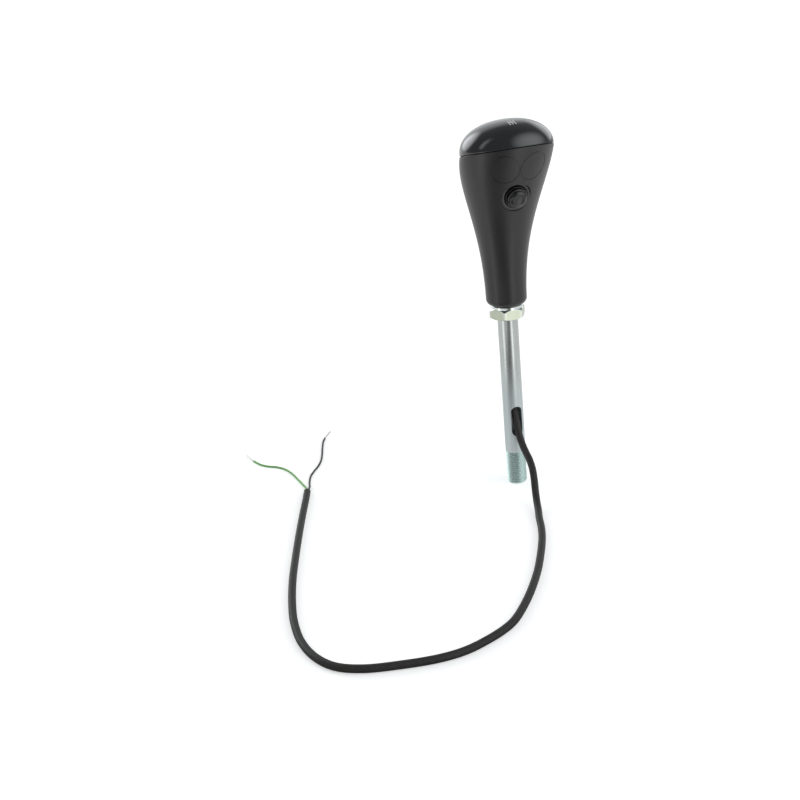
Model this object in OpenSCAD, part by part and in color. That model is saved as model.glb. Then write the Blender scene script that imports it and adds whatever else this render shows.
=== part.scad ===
// Lever knob with a push button on a hollow threaded lever tube, its lead
// coming out of a slot in the tube. Millimetres. Origin at the centre of the
// tube's lower end face, +Z up the tube, -Y the side of the button and slot.

/* [Lever tube] */
// Outside diameter of the lever tube, and of its threads
tube_d = 12; // [11:0.5:14]
// Wall of the lever tube
tube_wall = 2; // [1.5:0.1:2.5]
// Length of tube below the jam nut
tube_free = 105; // [80:1:160]
// Length of tube above the jam nut, inside the grip
tube_in = 40; // [34:1:44]
// Length of the thread at the lower end
thread_len = 20; // [12:1:26]
// How much thinner the thread's crests are than the tube
thread_under = 0.1; // [0.05:0.05:0.2]
// Length over which the thread runs out into the plain tube
thread_runout = 1.2; // [0.8:0.1:2]
// Depth of the lower thread's chamfer
tube_chamfer = 0.8; // [0.4:0.1:1.2]
// Room for the lead on each side in the slot
slot_play = 1.3; // [0.9:0.1:1.7]
// Length of the slot for the lead
slot_len = 19; // [16:1:40]
// Height of the slot's lower end above the tube's end
slot_z = 31.2; // [26:0.2:31.4]

/* [Jam nut and bush] */
// Width of the jam nut across its flats
nut_af = 19; // [17:0.5:22]
// Thickness of the jam nut
nut_h = 8; // [6:0.5:10]
// Wall of the threaded bush moulded into the grip
bush_wall = 1.95; // [1.5:0.05:2.9]
// Length of the threaded bush
bush_len = 26; // [18:1:28]
// Clearance of a thread or a push fit on each side
fit_gap = 0.05; // [0.02:0.01:0.1]

/* [Grip] */
// Height from the grip's foot to the middle of its parting plane
grip_h = 91.5; // [84:0.5:104]
// Half width of the neck at the foot
neck_r = 11.9; // [11.5:0.1:13]
// Half width of the head at the parting plane
head_a = 26.1; // [24:0.1:29]
// Half depth of the head at the parting plane
head_b = 25.1; // [23:0.1:28]
// How far the middle of the head stands forward of the lever
head_lean = 14.5; // [8:0.5:17]
// Tilt of the parting plane, front edge up
part_tilt = 12.3; // [0:0.1:16]
// Wall of the hollow head
grip_wall = 3.2; // [2.4:0.1:3.6]
// Thickness of the hollow's floor over the bush
hollow_floor = 6; // [4:0.5:10]
// Radius of the round edge at the foot
foot_round = 3.5; // [1:0.1:5]

/* [Cap] */
// Height of the cap above the parting plane
cap_h = 17; // [12:0.5:22]
// Roundness of the dome, 2 for an ellipse, more for fuller shoulders
cap_power = 2.14; // [2:0.02:2.6]
// Wall of the cap
cap_wall = 2.6; // [2:0.1:3.2]
// Depth of the cap's locating rim inside the grip
rim_depth = 2; // [1.5:0.1:3]
// Thickness of the locating rim
rim_wall = 1.6; // [1.2:0.1:2]
// Depth of the cap's two snap hooks inside the grip
hook_len = 7.5; // [6:0.5:10]
// Width of a snap hook
hook_w = 5; // [4:0.5:6]
// How far a hook's catch stands out
catch_out = 1.5; // [1:0.1:1.6]
// Width and height of the shadow groove along the parting line
part_groove = 0.35; // [0.2:0.05:0.6]

/* [Push button] */
// Drop from the parting plane's middle to the button's middle
button_drop = 24.2; // [23:0.1:28]
// How far the button's axis points below level
button_tilt = 15; // [5:1:24]
// Diameter of the button's skirt
skirt_d = 12.6; // [10:0.1:14]
// Width of the step between the button's skirt and its head
head_step = 0.7; // [0.4:0.1:1.2]
// Wall of the switch barrel, over its thread
barrel_wall = 1; // [0.8:0.1:1.4]
// How far the bezel stands out past the barrel
bezel_lip = 1.1; // [0.8:0.1:1.6]
// How far the button's head stands out of the bezel
button_out = 4.8; // [4:0.1:6]
// Travel of the button
button_travel = 2.4; // [1.5:0.1:3]
// Clearance around moving pieces
run_gap = 0.2; // [0.15:0.05:0.3]

/* [Blank switch places] */
// Diameter of the witness lines of the blank places
blank_d = 16; // [12:0.5:17]
// Half of the space between the two blank places
blank_space = 0.4; // [0.2:0.1:2]
// Drop from the parting plane's middle to the middle of the blank places
blank_drop = 6.5; // [5:0.5:8]

/* [Lead] */
// Diameter of the lead's sheath
lead_d = 4.2; // [3.4:0.1:4.4]
// Diameter of a core's insulation
core_d = 1.3; // [1:0.1:1.5]
// Diameter of a core's bare strands
strand_d = 0.9; // [0.6:0.1:1]

/* [Hidden] */
$fn = 64;
eps = 0.01;

// ---- heights and fits along the lever ----------------------------------
grip_z = tube_free + nut_h;
tube_top = grip_z + tube_in;
tube_bore = tube_d - 2 * tube_wall;
tube_hole = tube_d + 2 * fit_gap;
bush_d = tube_hole + 2 * bush_wall;
slot_w = lead_d + 2 * slot_play;
hollow_h = bush_len + hollow_floor;
// The foot's round edge stops short of the bush
foot_edge = min(foot_round, neck_r - bush_d / 2 - 0.4);

// ---- the grip's skin ----------------------------------------------------
// A cross-section is an ellipse. Its middle, half widths and tilt each run
// along a cubic curve from the foot (t = 0) to the parting plane (t = 1).
skin_sides = 48;
skin_a = [neck_r, neck_r - 0.7, head_a - 0.1, head_a];
skin_b = [neck_r - 0.1, neck_r - 0.7, head_b - 0.3, head_b];
skin_y = [0, 0, -0.24 * head_lean, -head_lean];
skin_z = [0, 0.51 * grip_h, 0.75 * grip_h, grip_h];
skin_tilt = [0, 0, 0.16 * part_tilt, part_tilt];

function cubic(p, t) = p[0] * pow(1 - t, 3) + 3 * p[1] * pow(1 - t, 2) * t
    + 3 * p[2] * (1 - t) * t * t + p[3] * pow(t, 3);

// An ellipse of half widths a and b, its front tilted up, moved along its normal
function ellipse_ring(y, z, a, b, tilt, lift, sides) = [
    for (i = [0 : sides - 1])
        let (turn = 360 * i / sides, v = b * sin(turn))
            [a * cos(turn), y + v * cos(tilt) + lift * sin(tilt),
             z - v * sin(tilt) + lift * cos(tilt)]];

function skin_ring(t, inset = 0, sides = skin_sides) = ellipse_ring(
    cubic(skin_y, t), grip_z + cubic(skin_z, t), cubic(skin_a, t) - inset,
    cubic(skin_b, t) - inset, cubic(skin_tilt, t), 0, sides);

// The parameter at which a rising function of height reaches a height
function t_of_middle(h, low = 0, high = 1, n = 24) = n == 0 ? (low + high) / 2 :
    let (m = (low + high) / 2)
        cubic(skin_z, m) > h ? t_of_middle(h, low, m, n - 1) : t_of_middle(h, m, high, n - 1);

// A point of the skin at parameter t, turned round from the front
function skin_point(t, turn) = [
    cubic(skin_a, t) * sin(turn),
    cubic(skin_y, t) - cubic(skin_b, t) * cos(turn) * cos(cubic(skin_tilt, t)),
    cubic(skin_z, t) + cubic(skin_b, t) * cos(turn) * sin(cubic(skin_tilt, t))];
function t_of_point(h, turn, low = 0, high = 1, n = 24) = n == 0 ? (low + high) / 2 :
    let (m = (low + high) / 2)
        skin_point(m, turn)[2] > h ? t_of_point(h, turn, low, m, n - 1)
        : t_of_point(h, turn, m, high, n - 1);

// Joins rings of equal count into a closed solid
module loft(rings) {
    sides = len(rings[0]);
    last = len(rings) - 1;
    points = [for (r = rings) for (p = r) p];
    faces = concat(
        [[for (i = [0 : sides - 1]) i]],
        [for (j = [0 : last - 1]) for (i = [0 : sides - 1])
            let (k = (i + 1) % sides) [j * sides + i, (j + 1) * sides + i, j * sides + k]],
        [for (j = [0 : last - 1]) for (i = [0 : sides - 1])
            let (k = (i + 1) % sides)
                [j * sides + k, (j + 1) * sides + i, (j + 1) * sides + k]],
        [[for (i = [sides - 1 : -1 : 0]) last * sides + i]]);
    polyhedron(points, faces, convexity = 6);
}

// ---- the grip ------------------------------------------------------------
foot_steps = 5;
body_steps = 22;
t_foot = t_of_middle(foot_edge);
foot_rings = [
    for (k = [0 : foot_steps - 1])
        let (turn = 90 * k / foot_steps, h = foot_edge * (1 - cos(turn)))
            skin_ring(t_of_middle(h), foot_edge * (1 - sin(turn)))];
body_rings = [for (k = [0 : body_steps]) skin_ring(t_foot + (1 - t_foot) * k / body_steps)];

// The hollow of the head, carried a little past the parting plane
hollow_sides = 32;
hollow_steps = 9;
t_hollow = t_of_middle(hollow_h);
hollow_rings = concat(
    [for (k = [0 : hollow_steps])
        skin_ring(t_hollow + (1 - t_hollow) * k / hollow_steps, grip_wall, hollow_sides)],
    [ellipse_ring(-head_lean, grip_z + grip_h, head_a - grip_wall, head_b - grip_wall,
        part_tilt, 1, hollow_sides)]);

// The frame of the parting plane
module at_parting() {
    translate([0, -head_lean, grip_z + grip_h]) rotate([-part_tilt, 0, 0]) children();
}
rim_inset = grip_wall + 0.3;
module ellipse_disc(inset, low, high) {
    translate([0, 0, low]) scale([1, (head_b - inset) / (head_a - inset), 1])
        cylinder(r = head_a - inset, h = high - low);
}

// The cap's two hooks stand at the sides, a little behind the middle, because
// the hollow leans back as it goes down. Each has a wedge-shaped catch, and
// the grip's wall has a pocket for it.
hook_face = head_a - grip_wall - 0.9;
hook_t = 1.6;
hook_back = 0.35 * hook_len;
catch_slope = 1.6;
catch_h = 2.4;
module hooks() {
    at_parting() for (side = [-1, 1]) translate([side * hook_face, hook_back, -hook_len])
        rotate([90, 0, 0]) linear_extrude(height = hook_w, center = true) polygon([
            [-side * hook_t, 0], [0, 0], [side * catch_out, catch_slope],
            [side * catch_out, catch_h], [0, catch_h], [0, hook_len + 0.8 * cap_wall],
            [-side * hook_t, hook_len + 0.8 * cap_wall]]);
}
module hook_pockets() {
    room = 0.3;
    wide = catch_out + room + 1;
    at_parting() for (side = [-1, 1])
        translate([side * (hook_face + catch_out + room - wide / 2), hook_back,
                   -hook_len + (catch_h + 2 * fit_gap - room) / 2])
            cube([wide, hook_w + 2 * room, catch_h + 2 * fit_gap + room], center = true);
}

// ---- the button's frame: its origin is in the bezel's face, +Z points out
button_h = grip_h - button_drop;
t_button = t_of_point(button_h, 0);
button_spot = skin_point(t_button, 0);
bezel_sink = 1.4;
button_z = [0, -cos(button_tilt), -sin(button_tilt)];
button_y = [0, -sin(button_tilt), cos(button_tilt)];
button_o = button_spot + [0, 0, grip_z] - bezel_sink * button_z;
function from_button(p) = button_o + p[0] * [1, 0, 0] + p[1] * button_y + p[2] * button_z;
module at_button() {
    translate(button_o) rotate([90 + button_tilt, 0, 0]) children();
}

// Diameters of what turns about the button's axis, from the skirt outwards
bore_d = skirt_d + 2 * run_gap;
barrel_d = bore_d + 2 * barrel_wall;
bezel_d = barrel_d + 2 * bezel_lip;
button_d = skirt_d - 2 * head_step;
washer_d = barrel_d + 5.4;
rod_d = 4;
rod_guide_gap = 0.08;
stud_d = 3;

// Heights along the button's axis, from the bezel's face inwards
flange_h = 2.2;
panel_t = 4.8;
seat_z = -flange_h - panel_t;
washer_h = 0.6;
ring_nut_h = 3;
cap_floor = -0.5;
skirt_low = -5.6;
shelf_top = skirt_low - button_travel - 0.8;
shelf_low = shelf_top - 1.7;
clip_h = 0.7;
clip_top = shelf_low - 0.1;
bridge_top = clip_top - clip_h - 1.1;
bridge_h = 0.6;
contact_gap = 0.1;
pad_top = bridge_top - bridge_h - button_travel - contact_gap;
pad_h = 0.8;
base_top = pad_top - pad_h;
barrel_end = base_top - 2.7;

// The contacts and their tabs
pad_r = 1.5;
bridge_r = 1.9;
terminal_x = bore_d / 2 - bridge_r - 0.8;
tab_end = barrel_end - 6.5;
tab_w = 4.8;
tab_t = 0.8;

module grip_body() {
    color([0.20, 0.20, 0.19]) difference() {
        loft(concat(foot_rings, body_rings));
        difference() {
            loft(hollow_rings);
            at_button() translate([0, 0, seat_z]) cylinder(d = washer_d + 2.4, h = 30);
        }
        at_parting() ellipse_disc(rim_inset, -rim_depth - 0.3, 2);
        bush_form(0);
        translate([0, 0, grip_z + bush_len - 1])
            cylinder(d = tube_hole, h = hollow_h - bush_len + 2);
        at_button() {
            translate([0, 0, -flange_h]) cylinder(d = bezel_d + 0.6, h = 20);
            translate([0, 0, seat_z - 5]) cylinder(d = barrel_d + 2 * run_gap, h = 20);
            translate([0, 0, seat_z - 9]) cylinder(d = washer_d + 2, h = 9);
        }
        hook_pockets();
        for (side = [-1, 1]) blank_line(side);
    }
}

// A witness line of even depth: a thin tube with the skin's inside taken out
blank_line_w = 0.4;
blank_line_deep = 0.3;
blank_h = grip_h - blank_drop;
blank_turn = asin((blank_d / 2 + blank_space) / cubic(skin_a, t_of_middle(blank_h)));
module blank_line(side) {
    t = t_of_point(blank_h, blank_turn);
    spot = skin_point(t, side * blank_turn) + [0, 0, grip_z];
    difference() {
        translate(spot) rotate([90, 0, side * blank_turn]) translate([0, 0, -5]) difference() {
            cylinder(d = blank_d, h = 10);
            translate([0, 0, -1]) cylinder(d = blank_d - 2 * blank_line_w, h = 12);
        }
        loft([for (k = [9 : body_steps + 1]) skin_ring(k / body_steps, blank_line_deep)]);
    }
}

// ---- the cap ---------------------------------------------------------------
dome_steps = 10;
dome_top_turn = 89;
cap_roof_turn = 84;
cap_roof_steps = 6;
function parting_ring(inset, lift, sides) = ellipse_ring(-head_lean, grip_z + grip_h,
    head_a - inset, head_b - inset, part_tilt, lift, sides);
function dome_ring(turn, inset, base_lift, sides) =
    let (shrink = pow(cos(turn), 2 / cap_power), rise = pow(sin(turn), 2 / cap_power))
        ellipse_ring(-head_lean, grip_z + grip_h, (head_a - inset) * shrink,
            (head_b - inset) * shrink, part_tilt,
            base_lift + (cap_h - inset - base_lift) * rise, sides);

module top_cap() {
    rim_inner = rim_inset + rim_wall;
    color([0.08, 0.08, 0.10]) union() {
        difference() {
            union() {
                loft(concat(
                    [for (lift = [0, part_groove]) parting_ring(part_groove, lift, skin_sides)],
                    [for (k = [0 : dome_steps]) dome_ring(dome_top_turn * k / dome_steps, 0,
                        part_groove + eps, skin_sides)]));
                loft([for (lift = [-rim_depth, cap_wall / 2])
                    parting_ring(rim_inset + run_gap, lift, hollow_sides)]);
            }
            loft(concat(
                [parting_ring(rim_inner, -rim_depth - 1, hollow_sides)],
                [for (k = [0 : cap_roof_steps])
                    dome_ring(cap_roof_turn * k / cap_roof_steps,
                        max(cap_wall, rim_inner - (rim_inner - cap_wall) * k / 3),
                        cap_wall / 2, hollow_sides)]));
        }
        hooks();
    }
}

// ---- bush, nut and tube ------------------------------------------------
bush_neck = 1;
module bush_form(bore) {
    r = bush_d / 2;
    third = bush_len / 3;
    translate([0, 0, grip_z]) rotate_extrude() polygon([
        [bore / 2, 0], [r, 0], [r, third], [r - bush_neck, third + bush_neck],
        [r - bush_neck, 2 * third - bush_neck], [r, 2 * third], [r, bush_len],
        [bore / 2, bush_len]]);
}

module threaded_bush() {
    color([0.74, 0.64, 0.38]) bush_form(tube_hole);
}

module jam_nut() {
    corner = nut_af / sqrt(3);
    bevel = 1.3;
    color([0.82, 0.84, 0.78]) translate([0, 0, tube_free]) difference() {
        intersection() {
            rotate([0, 0, 30]) cylinder(r = corner, h = nut_h, $fn = 6);
            rotate_extrude() polygon([
                [0, 0], [nut_af / 2 - 0.6, 0], [corner + 0.01, bevel],
                [corner + 0.01, nut_h - bevel], [nut_af / 2 - 0.6, nut_h], [0, nut_h]]);
        }
        translate([0, 0, -1]) cylinder(d = tube_hole, h = nut_h + 2);
    }
}

module lever_tube() {
    r = tube_d / 2;
    crest = r - thread_under / 2;
    color([0.72, 0.76, 0.76]) difference() {
        rotate_extrude() polygon([
            [tube_bore / 2, 0], [crest - tube_chamfer, 0], [crest, tube_chamfer],
            [crest, thread_len], [r, thread_len + thread_runout],
            [r, tube_top - tube_chamfer],
            [r - tube_chamfer, tube_top], [tube_bore / 2, tube_top]]);
        translate([0, 0, slot_z + slot_w / 2]) rotate([90, 0, 0]) {
            cylinder(d = slot_w, h = tube_d);
            translate([0, slot_len - slot_w, 0]) cylinder(d = slot_w, h = tube_d);
            translate([-slot_w / 2, 0, 0]) cube([slot_w, slot_len - slot_w, tube_d]);
        }
    }
}

// ---- the switch ------------------------------------------------------------
module switch_housing() {
    rb = barrel_d / 2;
    rf = bezel_d / 2;
    color([0.10, 0.10, 0.10]) at_button() rotate_extrude() polygon([
        [rb, barrel_end], [rb, -flange_h], [rf, -flange_h], [rf, -0.5], [rf - 0.5, 0],
        [bore_d / 2 + 0.8, 0], [bore_d / 2, -0.8], [bore_d / 2, shelf_top],
        [rod_d / 2 + rod_guide_gap, shelf_top], [rod_d / 2 + rod_guide_gap, shelf_low],
        [bore_d / 2, shelf_low], [bore_d / 2, barrel_end]]);
}

module switch_washer() {
    color([0.78, 0.80, 0.80]) at_button() translate([0, 0, seat_z - washer_h]) difference() {
        cylinder(d = washer_d, h = washer_h);
        translate([0, 0, -1]) cylinder(d = barrel_d + 2 * fit_gap, h = washer_h + 2);
    }
}

module switch_ring_nut() {
    nut_r = washer_d / 2;
    color([0.80, 0.81, 0.80]) at_button()
        translate([0, 0, seat_z - washer_h - ring_nut_h]) difference() {
            cylinder(r = nut_r, h = ring_nut_h, $fn = 6);
            translate([0, 0, -1]) cylinder(d = barrel_d + 2 * fit_gap, h = ring_nut_h + 2);
        }
}

module tab_slot(side, grow) {
    translate([side * terminal_x - tab_t / 2 - grow, -tab_w / 2 - grow, tab_end])
        cube([tab_t + 2 * grow, tab_w + 2 * grow, pad_top - tab_end - 0.4]);
}

module switch_base() {
    color([0.45, 0.26, 0.14]) at_button() difference() {
        translate([0, 0, barrel_end]) cylinder(d = bore_d - 2 * fit_gap, h = base_top - barrel_end);
        for (side = [-1, 1]) tab_slot(side, 0);
    }
}

module terminal(side) {
    color([0.80, 0.68, 0.36]) at_button() difference() {
        union() {
            tab_slot(side, 0);
            translate([side * terminal_x, 0, base_top]) cylinder(r = pad_r, h = pad_h);
        }
        translate([side * terminal_x - 2, 0, tab_end + 2.4]) rotate([0, 90, 0])
            cylinder(d = 1.4, h = 4);
    }
}
module terminal_left() { terminal(-1); }
module terminal_right() { terminal(1); }

// A push-on receptacle that grips the tab, its crimp barrel pointing down
crimp_len = 5;
crimp_z = tab_end + 3;
crimp_low = -tab_w / 2 - 1 - crimp_len;
module receptacle(side) {
    color([0.76, 0.74, 0.66]) at_button() {
        difference() {
            union() {
                translate([side * terminal_x - tab_t / 2 - 0.9, -tab_w / 2 - 0.9, tab_end - 0.3])
                    cube([tab_t + 1.8, tab_w + 1.8, 6.2]);
                translate([side * terminal_x, crimp_low, crimp_z]) rotate([-90, 0, 0])
                    cylinder(r = core_d / 2 + 0.6, h = crimp_len + 0.6);
            }
            translate([0, 0, -eps]) tab_slot(side, fit_gap);
            translate([side * terminal_x, crimp_low - 1, crimp_z]) rotate([-90, 0, 0])
                cylinder(r = core_d / 2 + fit_gap, h = crimp_len);
        }
    }
}
module receptacle_left() { receptacle(-1); }
module receptacle_right() { receptacle(1); }

// ---- the pieces that move with the button ------------------------------
stud_top = button_out - 3;
module button_cap() {
    rs = skirt_d / 2;
    rh = button_d / 2;
    inner = rs - 1.3;
    edge = 1.1;
    color([0.13, 0.13, 0.13]) at_button() rotate_extrude() polygon(concat(
        [[stud_d / 2, cap_floor], [inner, cap_floor], [inner, skirt_low], [rs, skirt_low],
         [rs, 0.7], [rs - 0.3, 1], [rh, 1]],
        [for (k = [0 : 6]) let (turn = 15 * k)
            [rh - edge + edge * cos(turn), button_out - edge + edge * sin(turn)]],
        [for (k = [1 : 5]) let (r = (rh - edge) * (1 - k / 5))
            [r, button_out - 0.5 * (1 - pow(r / (rh - edge), 2))]],
        [[0, stud_top], [stud_d / 2, stud_top]]));
}

module plunger() {
    rod = rod_d / 2;
    color([0.86, 0.84, 0.76]) at_button() rotate_extrude() polygon([
        [0, bridge_top - bridge_h - 0.3], [1.2, bridge_top - bridge_h - 0.3], [1.2, bridge_top],
        [rod, bridge_top], [rod, clip_top - clip_h], [rod - 0.5, clip_top - clip_h],
        [rod - 0.5, clip_top], [rod, clip_top], [rod, cap_floor], [stud_d / 2, cap_floor],
        [stud_d / 2, stud_top], [0, stud_top]]);
}

module plunger_clip() {
    color([0.60, 0.62, 0.64]) at_button() translate([0, 0, clip_top - clip_h]) difference() {
        cylinder(d = rod_d + 3, h = clip_h);
        translate([0, 0, -1]) cylinder(d = rod_d - 1, h = clip_h + 2);
        translate([-(rod_d - 1) / 2, 0, -1]) cube([rod_d - 1, rod_d, clip_h + 2]);
    }
}

module contact_bridge() {
    color([0.80, 0.62, 0.30]) at_button() translate([0, 0, bridge_top - bridge_h]) difference() {
        union() {
            translate([-terminal_x, -bridge_r, 0])
                cube([2 * terminal_x, 2 * bridge_r, bridge_h]);
            for (side = [-1, 1]) translate([side * terminal_x, 0, 0])
                cylinder(r = bridge_r, h = bridge_h);
        }
        translate([0, 0, -1]) cylinder(r = 1.2, h = bridge_h + 2);
    }
}

// ---- coil of the return spring: a round wire swept along a helix
spring_r = rod_d / 2 + 1.5;
spring_wire = 0.6;
spring_turns = 5;
spring_steps = 14;
spring_sides = 8;
spring_low = shelf_top + spring_wire / 2 + 0.02;
spring_high = cap_floor - spring_wire / 2 - 0.02;
module return_spring() {
    count = spring_turns * spring_steps;
    rings = [for (k = [0 : count])
        let (turn = 360 * k / spring_steps,
             share = max(0, min(1, (k - spring_steps) / (count - 2 * spring_steps))),
             z = spring_low + (spring_high - spring_low - 1.3) * share
                 + 0.65 * min(1, k / spring_steps)
                 + 0.65 * max(0, (k - count + spring_steps) / spring_steps))
            [for (i = [0 : spring_sides - 1])
                let (a = 360 * i / spring_sides, r = spring_r + spring_wire / 2 * cos(a))
                    [r * cos(turn), r * sin(turn), z + spring_wire / 2 * sin(a)]]];
    color([0.62, 0.64, 0.66]) at_button() loft(rings);
}

// ---- the lead -----------------------------------------------------------
// Middle line of the lead: down the bore, out of the slot, to the surface
// that the lever stands over, then round in one loose bend.
lead_bend = [[0, -0.2, 56], [0, -1.3, 50], [0, -3.2, 43.5], [0, -5.8, 36.6]];
lead_rise = lead_d / 2;
lead_free = [
    [0, -8.8, 31.8], [0, -12.6, 28.2], [0, -17.5, 25.2], [0, -23, 22.4],
    [-0.6, -28.5, 18.8], [-1.6, -33, 14], [-2.8, -37, 8.8], [-4.2, -42, 4.6],
    [-6.2, -49, lead_rise + 0.3], [-9, -57, lead_rise], [-13, -70, lead_rise],
    [-18, -83, lead_rise], [-26, -100, lead_rise], [-35, -117, lead_rise],
    [-47, -136, lead_rise], [-60, -153, lead_rise], [-69, -161, lead_rise],
    [-81, -167.5, lead_rise], [-95, -172.5, lead_rise], [-110, -173.5, lead_rise],
    [-128, -171, lead_rise], [-144, -167, lead_rise], [-156, -159.5, lead_rise],
    [-163, -147, lead_rise], [-166, -130, lead_rise], [-165, -110, lead_rise],
    [-161.5, -90, lead_rise], [-156, -67, lead_rise], [-149, -43, lead_rise],
    [-141, -17, lead_rise], [-133, 8, lead_rise], [-126, 29, lead_rise],
    [-122.5, 40, lead_rise]];
lead_top = tube_top + 8;
lead_points = concat([[0, 0, lead_top], [0, 0, (lead_top + 62) / 2], [0, 0, 62]],
    lead_bend, lead_free);
lead_steps = 2;
lead_split = 6 * lead_steps;

// Points of a smooth curve through a list of points, n to each stretch
function smooth(p, n) = concat(
    [for (i = [0 : len(p) - 2]) for (k = [0 : n - 1])
        let (t = k / n, a = p[max(i - 1, 0)], b = p[i], c = p[i + 1],
             d = p[min(i + 2, len(p) - 1)])
            (2 * b + (c - a) * t + (2 * a - 5 * b + 4 * c - d) * t * t
                + (3 * b - a - 3 * c + d) * t * t * t) / 2],
    [p[len(p) - 1]]);
function unit(v) = v / norm(v);
function along(p) = [for (i = [0 : len(p) - 1])
    unit(p[min(i + 1, len(p) - 1)] - p[max(i - 1, 0)])];
// A sideways direction carried along the curve without twisting
function sideways(way, i = 0, last = [1, 0, 0]) = i == len(way) ? [] :
    let (n = unit(last - (last * way[i]) * way[i])) concat([n], sideways(way, i + 1, n));
function hose_rings(p, d, sides) =
    let (way = along(p), side = sideways(way))
        [for (i = [0 : len(p) - 1]) let (u = side[i], v = cross(way[i], u))
            [for (k = [0 : sides - 1]) let (a = 360 * k / sides)
                p[i] + d / 2 * (cos(a) * u + sin(a) * v)]];
function part_of(list, first, last) = [for (i = [first : last]) list[i]];

lead_sides = 10;
lead_rings = hose_rings(smooth(lead_points, lead_steps), lead_d, lead_sides);
lead_color = [0.16, 0.16, 0.16];
module lead_in_tube() {
    color(lead_color) loft(part_of(lead_rings, 0, lead_split));
}
module lead_sheath() {
    color(lead_color) loft(part_of(lead_rings, lead_split, len(lead_rings) - 1));
}

// A nylon tie round the lead, resting on the tube's upper end
tie_h = 2.6;
module lead_tie() {
    color([0.85, 0.85, 0.80]) translate([0, 0, tube_top]) difference() {
        union() {
            cylinder(d = lead_d + 2.4, h = tie_h);
            translate([-2.6, 0, 0]) cube([5.2, tube_bore / 2 + 1.7, tie_h + 1]);
        }
        translate([0, 0, -1]) cylinder(d = lead_d + 2 * fit_gap, h = tie_h + 3);
    }
}

// ---- cores inside the grip ----------------------------------------------
core_sides = 8;
core_off = core_d / 2 + 0.25;
module core_inner(side, shade) {
    start = [side * core_off, 0, lead_top];
    finish = from_button([side * terminal_x, crimp_low + 2, crimp_z]);
    points = [for (k = [0 : 9]) let (t = k / 9)
        [for (i = [0 : 2]) cubic([start[i], start[i] + (i == 2 ? 6 : 0),
            finish[i] - 7 * button_y[i], finish[i]], t)]];
    color(shade) loft(hose_rings(points, core_d, core_sides));
}
green = [0.36, 0.55, 0.36];
black = [0.15, 0.15, 0.15];
module core_green_inner() { core_inner(-1, green); }
module core_black_inner() { core_inner(1, black); }

// ---- cores at the free end ------------------------------------------------
// Each starts in the sheath's end face, drops to the surface and fans out.
sheath_end = lead_free[len(lead_free) - 1];
sheath_way = unit(sheath_end - lead_free[len(lead_free) - 2]);
sheath_side = [-sheath_way[1], sheath_way[0], 0];
core_rise = core_d / 2;
function core_start(side) = [for (ahead = [fit_gap, 2])
    sheath_end + side * core_off * sheath_side + ahead * sheath_way];
green_points = concat(core_start(1), [
    [-121.6, 47, 1.3], [-122, 54, core_rise], [-123.2, 64, core_rise],
    [-124.6, 74, core_rise], [-127, 82, core_rise], [-131, 88, core_rise],
    [-136, 92, core_rise], [-140, 97, core_rise], [-143, 105, core_rise]]);
black_points = concat(core_start(-1), [
    [-119, 48, 1.3], [-117.5, 55, core_rise], [-114.5, 64, core_rise],
    [-110.5, 71, core_rise], [-106.5, 77, core_rise], [-103, 84, core_rise],
    [-100, 93, core_rise], [-97, 104, core_rise], [-94, 114, core_rise],
    [-91.5, 119.5, core_rise]]);
green_tip = [[-144.4, 111, core_rise], [-145.4, 117, core_rise]];
black_tip = [[-88.5, 124.5, core_rise], [-85.3, 129.3, core_rise]];
wire_steps = 2;
module wire(points, shade) {
    color(shade) loft(hose_rings(smooth(points, wire_steps), core_d, core_sides));
}
module wire_tip(points, tip) {
    from = points[len(points) - 1];
    way = unit(from - points[len(points) - 2]);
    color([0.80, 0.80, 0.78])
        loft(hose_rings(concat([from, from + 1.5 * way], tip), strand_d, core_sides));
}
module wire_green() { wire(green_points, green); }
module wire_black() { wire(black_points, black); }
module wire_tip_green() { wire_tip(green_points, green_tip); }
module wire_tip_black() { wire_tip(black_points, black_tip); }

grip_body();
top_cap();
threaded_bush();
jam_nut();
lever_tube();
switch_housing();
switch_washer();
switch_ring_nut();
switch_base();
terminal_left();
terminal_right();
receptacle_left();
receptacle_right();
button_cap();
plunger();
plunger_clip();
contact_bridge();
return_spring();
core_green_inner();
core_black_inner();
lead_tie();
lead_in_tube();
lead_sheath();
wire_green();
wire_black();
wire_tip_green();
wire_tip_black();
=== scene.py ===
"""Looks of a lever knob with a push button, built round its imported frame.

Lengths are in metres and in the frame's own axes: the lever's tube stands on
the origin along +Z, and the push button and the lead's slot face -Y.
"""

import math

import bpy
import numpy as np
from bpy.props import FloatProperty, FloatVectorProperty, PointerProperty
from mathutils import Matrix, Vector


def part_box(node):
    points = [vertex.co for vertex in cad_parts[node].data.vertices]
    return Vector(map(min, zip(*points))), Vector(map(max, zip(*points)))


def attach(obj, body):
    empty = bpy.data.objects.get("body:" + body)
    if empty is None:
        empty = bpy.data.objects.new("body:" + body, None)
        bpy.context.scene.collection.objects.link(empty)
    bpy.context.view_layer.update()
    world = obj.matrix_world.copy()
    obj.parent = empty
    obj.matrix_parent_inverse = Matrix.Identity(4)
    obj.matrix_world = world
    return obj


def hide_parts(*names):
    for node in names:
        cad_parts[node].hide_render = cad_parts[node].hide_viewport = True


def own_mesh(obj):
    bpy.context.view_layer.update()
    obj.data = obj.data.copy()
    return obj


bl_info = {
    "name": "Lever knob with push button",
    "version": (1, 0, 0),
    "blender": (4, 5, 0),
    "location": "3D View > Sidebar > Lever knob",
    "description": "Builds the knob's detailed pieces, its lead, finishes and stage",
    "category": "Add Mesh",
}

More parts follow.
